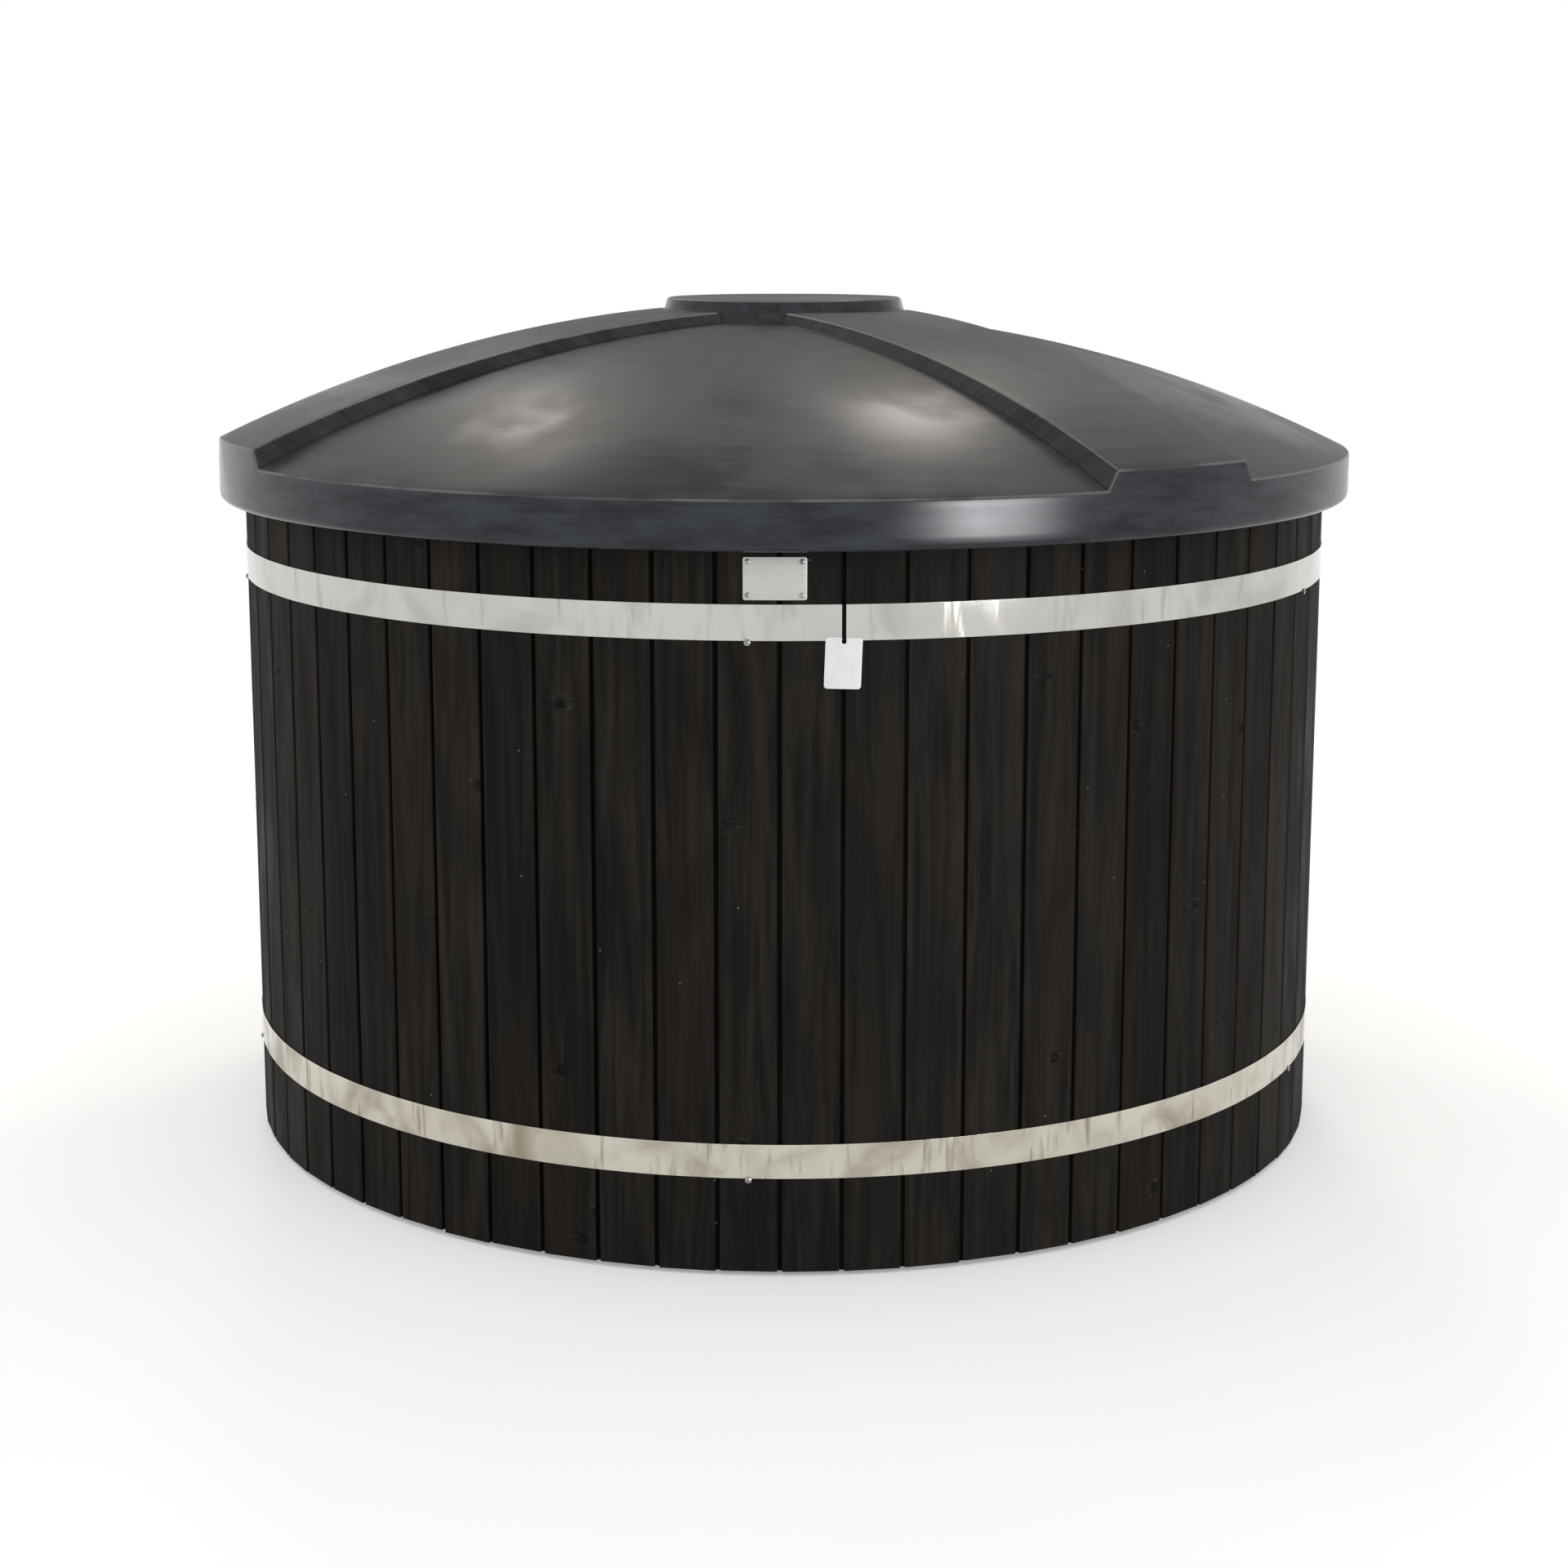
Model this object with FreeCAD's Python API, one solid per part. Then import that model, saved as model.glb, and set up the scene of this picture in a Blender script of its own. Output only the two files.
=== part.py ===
import FreeCAD, Part
import math
import os

from FreeCAD import Placement, Rotation, Vector

# Round hot tub: a moulded basin in a banded tongue-and-groove cladding, under a domed lift-off lid.
# Millimetres, Z up. The origin is on the ground at the tub's axis, and the front faces -Y.
# An azimuth is in degrees from the front, growing towards +X.

# General clearances and the overrun of every cut
PLAY = 0.3
SEAT = 0.1
OVERRUN = 5.0

# Cladding boards
STAVE_COUNT = 63
PANEL_COUNT = 9
STAVE_PITCH = 88.0
STAVE_THICKNESS = 20.0
STAVE_LENGTH = 1042.0
STAVE_CHAMFER = 1.5
SHADOW_GAP = 7.0
STAVE_LIP = 6.5
STAVE_BACK_GAP = 1.0
TONGUE_THICKNESS = 6.0
TONGUE_REACH = 5.0
TONGUE_PLAY = 0.4

# Base: rubber pads, joists and a round deck
PAD_THICKNESS = 6.0
PAD_LENGTH = 120.0
JOIST_WIDTH = 48.0
JOIST_HEIGHT = 148.0
JOISTS_PER_SIDE = 2
JOIST_SPREAD_SHARE = 0.766
JOIST_END_GAP = 6.0
DECK_THICKNESS = 18.0

# Moulded basin
SHELL_WALL = 8.0
INSULATION_THICKNESS = 31.6
BENCH_WIDTH = 392.0
BENCH_RISE = 300.0
RIM_SETBACK = 1.5
RIM_ROUND = 14.0
BENCH_ROUND = 60.0
BENCH_NOSE_ROUND = 36.0
FLOOR_ROUND = 60.0
BENCH_POST_WIDTH = 60.0
BENCH_POST_COUNT = 6

# Steel bands and their tension bolts
BAND_HEIGHT = 50.0
BAND_THICKNESS = 1.2
LOWER_BAND_RISE = 139.5
UPPER_BAND_DROP = 86.0
BAND_OPENING = 36.0
LUG_AZIMUTH = 200.0
LUG_THICKNESS = 3.0
LUG_REACH = 26.0
TENSION_BOLT_RADIUS = 4.0
TENSION_BOLT_SPARE = 6.0
HEX_ACROSS_FLATS = 13.0
HEX_HEAD_HEIGHT = 5.3
HEX_NUT_HEIGHT = 6.5

# Screws that the bands sit on, spread round the boards
SUPPORT_COUNT = 5
SUPPORT_SHANK_RADIUS = 2.0
SUPPORT_SHANK_LENGTH = 16.0
SUPPORT_HEAD_RADIUS = 4.6
SUPPORT_HEAD_HEIGHT = 2.6
DRIVE_SLOT_WIDTH_SHARE = 0.22
DRIVE_SLOT_LENGTH_SHARE = 1.1
DRIVE_SLOT_DEPTH_SHARE = 0.5
HEAD_BRIM_SHARE = 0.35

# Nameplate
PLATE_AZIMUTH = -0.4
PLATE_WIDTH = 87.5
PLATE_HEIGHT = 59.0
PLATE_THICKNESS = 1.0
PLATE_ABOVE_BAND = 6.0
PLATE_CORNER = 3.0
PLATE_SCREW_INSET = 6.5
PLATE_SHANK_RADIUS = 1.7
PLATE_SHANK_LENGTH = 10.0
PLATE_HEAD_RADIUS = 3.8
PLATE_HEAD_HEIGHT = 1.9

# Swing tag and its loop, hung at the first seam to the right of the front
TAG_SEAM = 1
TAG_WIDTH = 51.0
TAG_HEIGHT = 71.0
TAG_THICKNESS = 1.0
TAG_CORNER = 6.0
TAG_HOLE_PLAY = 0.4
TAG_HOLE_INSET = 5.5
LOOP_WIDTH = 5.0
LOOP_THICKNESS = 1.2

# Lid
LID_WALL = 6.0
LID_LIP_GAP = 7.3
LID_SKIRT_WIDTH = 32.0
LID_OVERLAP = 11.0
LID_LIP_ROUND = 16.0
LID_RIM_ROUND = 11.0
LID_SKIRT_HEIGHT = 71.0
RECESS_RISE = 216.0
RIB_RIM_HEIGHT = 29.0
RIB_APEX_HEIGHT = 16.0
RIB_AZIMUTHS = (38.4, -67.1, 165.4)
RIB_WIDTH = 256.0
RIB_WALL_RUN = 16.0
RIB_WALL_DROP = 30.0
HUB_RADIUS = 192.0
HUB_WALL_RUN = 7.0
HUB_RISE = 9.0
HUB_ROUND = 8.0
LID_LIFT_GAP = 8.0
SEAL_WIDTH = 24.0

# Heater connections at the back
HEATER_PIPE_RADIUS = 26.0
HEATER_SPIGOT_STEP = 2.0
HEATER_SPIGOT_WALL = 4.0
HEATER_SPIGOT_LENGTH = 60.0
HEATER_SHOULDER = 5.0
HEATER_FLANGE_RIM = 16.0
HEATER_FLANGE_THICKNESS = 6.0
HEATER_NUT_WALL = 12.0
HEATER_NUT_HEIGHT = 14.0
HEATER_NUT_RIBS = 12
GASKET_THICKNESS = 2.0
GROMMET_WALL = 3.4
GROMMET_FLANGE_RIM = 5.6
GROMMET_FLANGE_THICKNESS = 3.0

# Drain through the footwell floor and out at the back
DRAIN_SETBACK = 150.0
DRAIN_PIPE_RADIUS = 25.0
DRAIN_PIPE_WALL = 3.0
STRAINER_RIM = 20.0
STRAINER_THICKNESS = 5.0
STRAINER_HOLE_RADIUS = 3.5
STRAINER_HOLES = 6
STRAINER_CIRCLE_SHARE = 0.5
DRAIN_NUT_WALL = 15.0
DRAIN_NUT_HEIGHT = 11.0
DECK_HOLE_MARGIN = 8.0
ELBOW_DECK_GAP = 3.0
ELBOW_WALL = 5.0
ELBOW_BEND = 42.0
ELBOW_SOCKET = 21.0
SOCKET_STOP = 3.0
SLEEVE_WALL = 2.5
SLEEVE_STAND_OUT = 4.0

# Drain valve
VALVE_STAND_OFF = 12.0
VALVE_SPIGOT_WALL = 5.0
VALVE_BALL_RIM = 7.0
VALVE_BARREL_WALL = 9.0
VALVE_SEAT_ROOM = 7.0
VALVE_TAIL_FLANGE = 6.0
VALVE_TAIL_WALL = 7.0
VALVE_TAIL_LENGTH = 22.0
VALVE_SPIGOT_LENGTH = 50.0
UNION_NUT_WALL = 9.0
UNION_NUT_COVER = 12.0
UNION_NUT_LIP = 5.0
UNION_NUT_RIBS = 10
NUT_RIB_RADIUS = 3.0
SEAT_BACK_GAP = 0.2
STEM_RADIUS = 8.0
STEM_RUNNING_PLAY = 0.06
NECK_WALL = 6.0
NECK_RISE = 12.0
TANG_LENGTH_SHARE = 1.75
TANG_WIDTH_SHARE = 0.625
TANG_DEPTH = 5.0
LEVER_HUB_WALL = 8.0
LEVER_HUB_HEIGHT = 14.0
LEVER_LENGTH = 112.0
LEVER_TIP_RADIUS = 9.0
LEVER_ARM_HEIGHT = 8.0
LEVER_EDGE_ROUND = 2.0
LEVEL_TILT_SHARE = 0.1
LEVER_SCREW_RADIUS = 2.5
LEVER_SCREW_LENGTH = 10.0
LEVER_SCREW_HEAD_RIM = 5.0
LEVER_SCREW_HEAD_HEIGHT = 3.0

# Turns and directions
FULL_TURN = 360.0
QUARTER_TURN = 90.0
HEX_SIDES = 6
STAVE_ANGLE = FULL_TURN / STAVE_COUNT
HALF_ANGLE = math.pi / STAVE_COUNT
HEATER_STAVE = STAVE_COUNT // 2
HEATER_AZIMUTH = (HEATER_STAVE + 1 / 2) * STAVE_ANGLE
DRAIN_STAVE = HEATER_STAVE - 1
DRAIN_AZIMUTH = HEATER_AZIMUTH - STAVE_ANGLE
TAG_AZIMUTH = TAG_SEAM * STAVE_ANGLE

# Levels and radii of cladding, base and basin
CLAD_APOTHEM = STAVE_PITCH / 2 / math.tan(HALF_ANGLE)
CLAD_INNER = CLAD_APOTHEM - STAVE_THICKNESS
FACE_EDGE = SHADOW_GAP / 2 + STAVE_CHAMFER
STAVE_FACE = CLAD_APOTHEM + FACE_EDGE * math.sin(HALF_ANGLE)
CLAD_CORNER = math.hypot(STAVE_FACE, STAVE_PITCH / 2 - FACE_EDGE * math.cos(HALF_ANGLE))
STAVE_FOOT = PAD_THICKNESS
STAVE_TOP = STAVE_FOOT + STAVE_LENGTH
JOIST_SPACING = CLAD_INNER * JOIST_SPREAD_SHARE / JOISTS_PER_SIDE
DECK_BOTTOM = PAD_THICKNESS + JOIST_HEIGHT
DECK_TOP = DECK_BOTTOM + DECK_THICKNESS
SHELL_BOTTOM = DECK_TOP + SEAT
FLOOR_TOP = SHELL_BOTTOM + SHELL_WALL
BENCH_HEIGHT = FLOOR_TOP + BENCH_RISE
BASIN_RADIUS = CLAD_INNER - INSULATION_THICKNESS - SHELL_WALL
WELL_RADIUS = BASIN_RADIUS - BENCH_WIDTH
RIM_BOTTOM = STAVE_TOP + SEAT
RIM_TOP = RIM_BOTTOM + SHELL_WALL
RIM_RADIUS = CLAD_APOTHEM - RIM_SETBACK

# Levels and radii of bands, plate and tag
BAND_INNER = CLAD_CORNER + SEAT
BAND_OUTER = BAND_INNER + BAND_THICKNESS
LOWER_BAND_BOTTOM = STAVE_FOOT + LOWER_BAND_RISE
UPPER_BAND_TOP = STAVE_TOP - UPPER_BAND_DROP
UPPER_BAND_BOTTOM = UPPER_BAND_TOP - BAND_HEIGHT
LUG_MIDDLE = BAND_OUTER + LUG_REACH / 2
PLATE_BOTTOM = UPPER_BAND_TOP + PLATE_ABOVE_BAND
PLATE_MIDDLE = PLATE_BOTTOM + PLATE_HEIGHT / 2
TAG_BACK = BAND_OUTER + PLAY
TAG_FRONT = TAG_BACK + TAG_THICKNESS
TAG_HOLE_RADIUS = math.hypot(LOOP_WIDTH, LOOP_THICKNESS) / 2 + TAG_HOLE_PLAY
TAG_PIVOT = UPPER_BAND_BOTTOM - PLAY - LOOP_THICKNESS / 2

# Levels and radii of the lid
LID_LIP_RADIUS = CLAD_CORNER + LID_LIP_GAP
LID_RADIUS = LID_LIP_RADIUS + LID_SKIRT_WIDTH
LID_BOTTOM = STAVE_TOP - LID_OVERLAP
LID_CEILING = RIM_TOP + LID_LIFT_GAP
RECESS_RIM = LID_BOTTOM + LID_SKIRT_HEIGHT
RECESS_APEX = RECESS_RIM + RECESS_RISE
RIB_RIM = RECESS_RIM + RIB_RIM_HEIGHT
RIB_APEX = RECESS_APEX + RIB_APEX_HEIGHT
HUB_TOP = RIB_APEX + HUB_RISE

# Heater pipes, each in the middle of its flat stretch of wall
FLOW_HEIGHT = (BENCH_HEIGHT + BENCH_ROUND + UPPER_BAND_BOTTOM) / 2
RETURN_HEIGHT = (FLOOR_TOP + FLOOR_ROUND + BENCH_HEIGHT - BENCH_NOSE_ROUND) / 2
HEATER_SPIGOT_RADIUS = HEATER_PIPE_RADIUS - HEATER_SPIGOT_STEP
HEATER_BORE_RADIUS = HEATER_SPIGOT_RADIUS - HEATER_SPIGOT_WALL
HEATER_FLANGE_RADIUS = HEATER_PIPE_RADIUS + HEATER_FLANGE_RIM
HEATER_NUT_RADIUS = HEATER_PIPE_RADIUS + HEATER_NUT_WALL
GROMMET_RADIUS = HEATER_PIPE_RADIUS + GROMMET_WALL
GROMMET_FLANGE_RADIUS = GROMMET_RADIUS + GROMMET_FLANGE_RIM

# Drain, from the footwell to the valve
DRAIN_X = CLAD_APOTHEM * math.sin(math.radians(DRAIN_AZIMUTH))
DRAIN_BORE = DRAIN_PIPE_RADIUS - DRAIN_PIPE_WALL
DRAIN_SOCKET = DRAIN_PIPE_RADIUS + SEAT
STRAINER_RADIUS = DRAIN_PIPE_RADIUS + STRAINER_RIM
DRAIN_NUT_RADIUS = DRAIN_PIPE_RADIUS + DRAIN_NUT_WALL
ELBOW_OUTER = DRAIN_SOCKET + ELBOW_WALL
ELBOW_TOP = DECK_BOTTOM - ELBOW_DECK_GAP
DRAIN_AXIS_HEIGHT = ELBOW_TOP - ELBOW_SOCKET - ELBOW_BEND
ELBOW_END = DRAIN_SETBACK + ELBOW_BEND + ELBOW_SOCKET
SLEEVE_RADIUS = DRAIN_PIPE_RADIUS + SLEEVE_WALL

# Drain valve
VALVE_BORE_RADIUS = DRAIN_PIPE_RADIUS - VALVE_SPIGOT_WALL
VALVE_BALL_RADIUS = VALVE_BORE_RADIUS + VALVE_BALL_RIM
VALVE_BARREL_RADIUS = VALVE_BALL_RADIUS + VALVE_BARREL_WALL
VALVE_BARREL_HALF = VALVE_BALL_RADIUS + VALVE_SEAT_ROOM
VALVE_TAIL_RADIUS = DRAIN_PIPE_RADIUS + VALVE_TAIL_WALL
TAIL_REACH = VALVE_BARREL_HALF + VALVE_TAIL_FLANGE + VALVE_TAIL_LENGTH
VALVE_Y = CLAD_CORNER + VALVE_STAND_OFF + TAIL_REACH
NECK_RADIUS = STEM_RADIUS + NECK_WALL
NECK_TOP = DRAIN_AXIS_HEIGHT + VALVE_BARREL_RADIUS + NECK_RISE
TANG_LENGTH = STEM_RADIUS * TANG_LENGTH_SHARE
TANG_WIDTH = STEM_RADIUS * TANG_WIDTH_SHARE
LEVER_HUB_RADIUS = STEM_RADIUS + LEVER_HUB_WALL
LEVER_BOTTOM = NECK_TOP + PLAY
LEVER_TOP = LEVER_BOTTOM + LEVER_HUB_HEIGHT

AXIS = Vector(0, 0, 1)
ORIGIN = Vector(0, 0, 0)
TO_BACK = Vector(0, 1, 0)
TO_SIDE = Vector(1, 0, 0)
VALVE_MIDDLE = Vector(DRAIN_X, VALVE_Y, DRAIN_AXIS_HEIGHT)


def turned(shape, azimuth):
    """The shape, modelled at the front, carried round the tub's axis to an azimuth."""
    moved = shape.copy()
    moved.rotate(ORIGIN, AXIS, azimuth)
    return moved


def facing_out(shape, azimuth, radius, height):
    """The shape, modelled upright on the origin, laid with its top outwards at a place on the tub."""
    moved = shape.copy()
    lay_down = Rotation(TO_SIDE, QUARTER_TURN)
    moved.Placement = Placement(Vector(0, -radius, height), lay_down)
    return turned(moved, azimuth)


def box(low, high):
    """A block between two corners."""
    size = high - low
    return Part.makeBox(size.x, size.y, size.z, low)


def cylinder(radius, bottom, top):
    """An upright cylinder on the tub's axis."""
    return Part.makeCylinder(radius, top - bottom, Vector(0, 0, bottom))


def ring(inner, outer, bottom, top):
    """An upright ring on the tub's axis."""
    return cylinder(outer, bottom, top).cut(cylinder(inner, bottom, top))


def radial_rod(radius, start, end, height):
    """A rod that points outwards at the front, between two distances from the axis."""
    return Part.makeCylinder(radius, end - start, Vector(0, -start, height), Vector(0, -1, 0))


def outline(corners):
    """A closed outline in the XZ plane through (x, z, rounding) corners."""
    points = [Vector(x, 0, z) for x, z, rounding in corners]
    count = len(points)
    edges = []
    starts = []
    ends = []
    for index, corner in enumerate(points):
        rounding = corners[index][2]
        before = (points[index - 1] - corner).normalize()
        after = (points[(index + 1) % count] - corner).normalize()
        if rounding == 0:
            starts.append(corner)
            ends.append(corner)
            continue
        half = before.getAngle(after) / 2
        reach = rounding / math.tan(half)
        middle = (before + after).normalize() * (rounding / math.sin(half) - rounding)
        starts.append(corner + before * reach)
        ends.append(corner + after * reach)
        edges.append(Part.Arc(starts[-1], corner + middle, ends[-1]).toShape())
    for index in range(count):
        following = (index + 1) % count
        edges.append(Part.LineSegment(ends[index], starts[following]).toShape())
    return Part.Wire(Part.__sortEdges__(edges))


def lathe(corners):
    """A solid turned about the tub's axis from an outline of (radius, height, rounding) corners."""
    return Part.Face(outline(corners)).revolve(ORIGIN, AXIS, FULL_TURN)


def prism(points, bottom, height):
    """A solid raised from a flat outline of (x, y) points."""
    corners = [Vector(x, y, bottom) for x, y in points]
    return Part.Face(Part.makePolygon(corners + corners[:1])).extrude(AXIS * height)


def hexagon(across_flats, height):
    """A hexagonal block standing on the origin."""
    corner = across_flats / math.sqrt(3)
    turns = [math.radians(FULL_TURN * step / HEX_SIDES) for step in range(HEX_SIDES)]
    return prism([(corner * math.cos(turn), corner * math.sin(turn)) for turn in turns], 0, height)


def screw(head_radius, head_height, shank_radius, shank_length):
    """A domed cross-slot screw standing on its head's underside, shank down."""
    brim = head_height * HEAD_BRIM_SHARE
    dome_rise = head_height - brim
    dome_radius = (head_radius ** 2 + dome_rise ** 2) / (2 * dome_rise)
    dome = Part.makeSphere(dome_radius, Vector(0, 0, head_height - dome_radius))
    head = cylinder(head_radius, 0, head_height).common(dome)
    slot_length = head_radius * DRIVE_SLOT_LENGTH_SHARE / 2
    slot_width = head_radius * DRIVE_SLOT_WIDTH_SHARE / 2
    slot_floor = head_height * (1 - DRIVE_SLOT_DEPTH_SHARE)
    for across, along in ((slot_length, slot_width), (slot_width, slot_length)):
        slot = box(Vector(-across, -along, slot_floor), Vector(across, along, head_height))
        head = head.cut(slot)
    return head.fuse(cylinder(shank_radius, -shank_length, 0)).removeSplitter()


def rounded_plate(width, height, corner, thickness):
    """A flat plate with rounded corners, centred on the origin and raised upwards."""
    right = width / 2
    top = height / 2
    corners = [(-right, -top, corner), (right, -top, corner), (right, top, corner), (-right, top, corner)]
    face = Part.Face(outline(corners))
    face.rotate(ORIGIN, TO_SIDE, -QUARTER_TURN)
    return face.extrude(AXIS * thickness)


# Cladding

def stave_point(side, depth, reach):
    """A point of a board's section by its seam: depth behind the face, reach past the seam."""
    distance = CLAD_APOTHEM - depth
    across = distance * math.tan(HALF_ANGLE) + reach * math.cos(HALF_ANGLE)
    return (side * across, reach * math.sin(HALF_ANGLE) - distance)


def stave_section():
    """A tongue-and-groove board's section at the front: tongue to the right, groove to the left."""
    face = -SHADOW_GAP / 2
    back = -STAVE_BACK_GAP / 2
    behind = STAVE_LIP + TONGUE_THICKNESS
    groove_floor = -(TONGUE_REACH + TONGUE_PLAY)
    return [
        stave_point(-1, 0, face - STAVE_CHAMFER),
        stave_point(1, 0, face - STAVE_CHAMFER),
        stave_point(1, STAVE_CHAMFER, face),
        stave_point(1, STAVE_LIP, face),
        stave_point(1, STAVE_LIP, TONGUE_REACH),
        stave_point(1, behind, TONGUE_REACH),
        stave_point(1, behind, back),
        stave_point(1, STAVE_THICKNESS, back),
        stave_point(-1, STAVE_THICKNESS, back),
        stave_point(-1, behind + TONGUE_PLAY, back),
        stave_point(-1, behind + TONGUE_PLAY, groove_floor),
        stave_point(-1, STAVE_LIP - TONGUE_PLAY, groove_floor),
        stave_point(-1, STAVE_LIP - TONGUE_PLAY, face),
        stave_point(-1, STAVE_CHAMFER, face),
    ]


def stave_azimuth(index):
    """The azimuth of a board's middle; board 0 is the first to the right of the front seam."""
    return (index + 1 / 2) * STAVE_ANGLE


def support_screw_places():
    """Board, azimuth and height of every screw that a band sits on."""
    drop = SUPPORT_SHANK_RADIUS + SEAT
    for bottom in (LOWER_BAND_BOTTOM, UPPER_BAND_BOTTOM):
        for step in range(SUPPORT_COUNT):
            index = (step * STAVE_COUNT // SUPPORT_COUNT - 1) % STAVE_COUNT
            yield index, stave_azimuth(index), bottom - drop


def plate_screw_places():
    """Azimuth and height of the nameplate's four screws."""
    across = math.degrees((PLATE_WIDTH / 2 - PLATE_SCREW_INSET) / BAND_INNER)
    up = PLATE_HEIGHT / 2 - PLATE_SCREW_INSET
    for side in (-1, 1):
        for level in (-1, 1):
            yield PLATE_AZIMUTH + side * across, PLATE_MIDDLE + level * up


def stave_holes():
    """Holes in the boards, by board: pilot holes for screws, and the pipes' ways out."""
    holes = {}
    deep = CLAD_INNER - OVERRUN
    proud = CLAD_CORNER + OVERRUN
    for index, azimuth, height in support_screw_places():
        hole = turned(radial_rod(SUPPORT_SHANK_RADIUS + SEAT, deep, proud, height), azimuth)
        holes.setdefault(index, []).append(hole)
    for azimuth, height in plate_screw_places():
        index = math.floor(azimuth / STAVE_ANGLE) % STAVE_COUNT
        hole = turned(radial_rod(PLATE_SHANK_RADIUS + SEAT, deep, proud, height), azimuth)
        holes.setdefault(index, []).append(hole)
    for height in (FLOW_HEIGHT, RETURN_HEIGHT):
        hole = turned(radial_rod(GROMMET_RADIUS + SEAT, deep, proud, height), HEATER_AZIMUTH)
        holes.setdefault(HEATER_STAVE, []).append(hole)
    sleeve_hole = drain_rod(SLEEVE_RADIUS + SEAT, BASIN_RADIUS, proud)
    holes.setdefault(DRAIN_STAVE, []).append(sleeve_hole)
    return holes


def stave_panels():
    """The boards, in panels of neighbouring boards."""
    board = prism(stave_section(), STAVE_FOOT, STAVE_LENGTH)
    holes = stave_holes()
    panels = {}
    for index in range(STAVE_COUNT):
        placed = turned(board, stave_azimuth(index))
        for hole in holes.get(index, []):
            placed = placed.cut(hole)
        panel = "staves_%d" % (index * PANEL_COUNT // STAVE_COUNT + 1)
        panels.setdefault(panel, []).append(placed)
    return {name: Part.makeCompound(boards) for name, boards in panels.items()}


# Bands

def band(bottom):
    """A steel band with its two turned-out ends at the back."""
    top = bottom + BAND_HEIGHT
    half = BAND_OPENING / 2
    hoop = ring(BAND_INNER, BAND_OUTER, bottom, top)
    opening = box(Vector(-half, -BAND_OUTER - OVERRUN, bottom), Vector(half, 0, top))
    hoop = hoop.cut(opening)
    middle = bottom + BAND_HEIGHT / 2
    reach = Vector(half + LUG_THICKNESS, -BAND_INNER, top)
    lug = box(Vector(half, -BAND_OUTER - LUG_REACH, bottom), reach)
    bolt_hole = Part.makeCylinder(TENSION_BOLT_RADIUS + PLAY, BAND_OPENING + 2 * LUG_REACH,
                                  Vector(-half - LUG_REACH, -LUG_MIDDLE, middle), TO_SIDE)
    for ear in (lug, lug.mirror(ORIGIN, TO_SIDE)):
        hoop = hoop.fuse(ear.cut(bolt_hole))
    return turned(hoop.removeSplitter(), LUG_AZIMUTH)


def across_lugs(shape, start, bottom):
    """A bolt or nut, modelled upright, laid across a band's lugs from a distance off their middle."""
    moved = shape.copy()
    lay_across = Rotation(TO_BACK, QUARTER_TURN)
    moved.Placement = Placement(Vector(start, -LUG_MIDDLE, bottom + BAND_HEIGHT / 2), lay_across)
    return turned(moved, LUG_AZIMUTH)


def tension_bolt(bottom):
    """The bolt that draws a band's ends together."""
    grip = BAND_OPENING + 2 * LUG_THICKNESS
    length = grip + HEX_NUT_HEIGHT + TENSION_BOLT_SPARE
    shank = cylinder(TENSION_BOLT_RADIUS, 0, length)
    head = hexagon(HEX_ACROSS_FLATS, HEX_HEAD_HEIGHT)
    head.translate(AXIS * -HEX_HEAD_HEIGHT)
    return across_lugs(shank.fuse(head), -grip / 2, bottom)


def tension_nut(bottom):
    """The nut on a band's tension bolt."""
    nut = hexagon(HEX_ACROSS_FLATS, HEX_NUT_HEIGHT)
    nut = nut.cut(cylinder(TENSION_BOLT_RADIUS + SEAT, 0, HEX_NUT_HEIGHT))
    return across_lugs(nut, BAND_OPENING / 2 + LUG_THICKNESS, bottom)


def support_screws():
    """The screws that keep the bands from sliding down."""
    length = SUPPORT_SHANK_LENGTH + BAND_OUTER - STAVE_FACE
    one = screw(SUPPORT_HEAD_RADIUS, SUPPORT_HEAD_HEIGHT, SUPPORT_SHANK_RADIUS, length)
    head_seat = BAND_OUTER + SEAT
    screws = []
    for index, azimuth, height in support_screw_places():
        screws.append(facing_out(one, azimuth, head_seat, height))
    return Part.makeCompound(screws)


# Nameplate and swing tag

def nameplate():
    """A thin plate bent to the cladding, with rounded corners and four screw holes."""
    front = BAND_INNER + PLATE_THICKNESS
    sheet = ring(BAND_INNER, front, PLATE_BOTTOM, PLATE_BOTTOM + PLATE_HEIGHT)
    blank = rounded_plate(PLATE_WIDTH, PLATE_HEIGHT, PLATE_CORNER, front + OVERRUN)
    plate = turned(sheet.common(facing_out(blank, 0, 0, PLATE_MIDDLE)), PLATE_AZIMUTH)
    for azimuth, height in plate_screw_places():
        hole = radial_rod(PLATE_SHANK_RADIUS + SEAT, CLAD_INNER, front + OVERRUN, height)
        plate = plate.cut(turned(hole, azimuth))
    return plate


def plate_screws():
    """The nameplate's four small screws."""
    one = screw(PLATE_HEAD_RADIUS, PLATE_HEAD_HEIGHT, PLATE_SHANK_RADIUS, PLATE_SHANK_LENGTH)
    seat = BAND_INNER + PLATE_THICKNESS + SEAT
    places = plate_screw_places()
    return Part.makeCompound([facing_out(one, azimuth, seat, height) for azimuth, height in places])


def swing_tag():
    """A plain card with a hole near its top edge, hanging in front of the band's lower edge."""
    middle = TAG_PIVOT + TAG_HOLE_INSET - TAG_HEIGHT / 2
    card = rounded_plate(TAG_WIDTH, TAG_HEIGHT, TAG_CORNER, TAG_THICKNESS)
    card = facing_out(card, 0, TAG_BACK, middle)
    card = card.cut(radial_rod(TAG_HOLE_RADIUS, TAG_BACK - OVERRUN, TAG_FRONT + OVERRUN, TAG_PIVOT))
    return turned(card, TAG_AZIMUTH)


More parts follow.
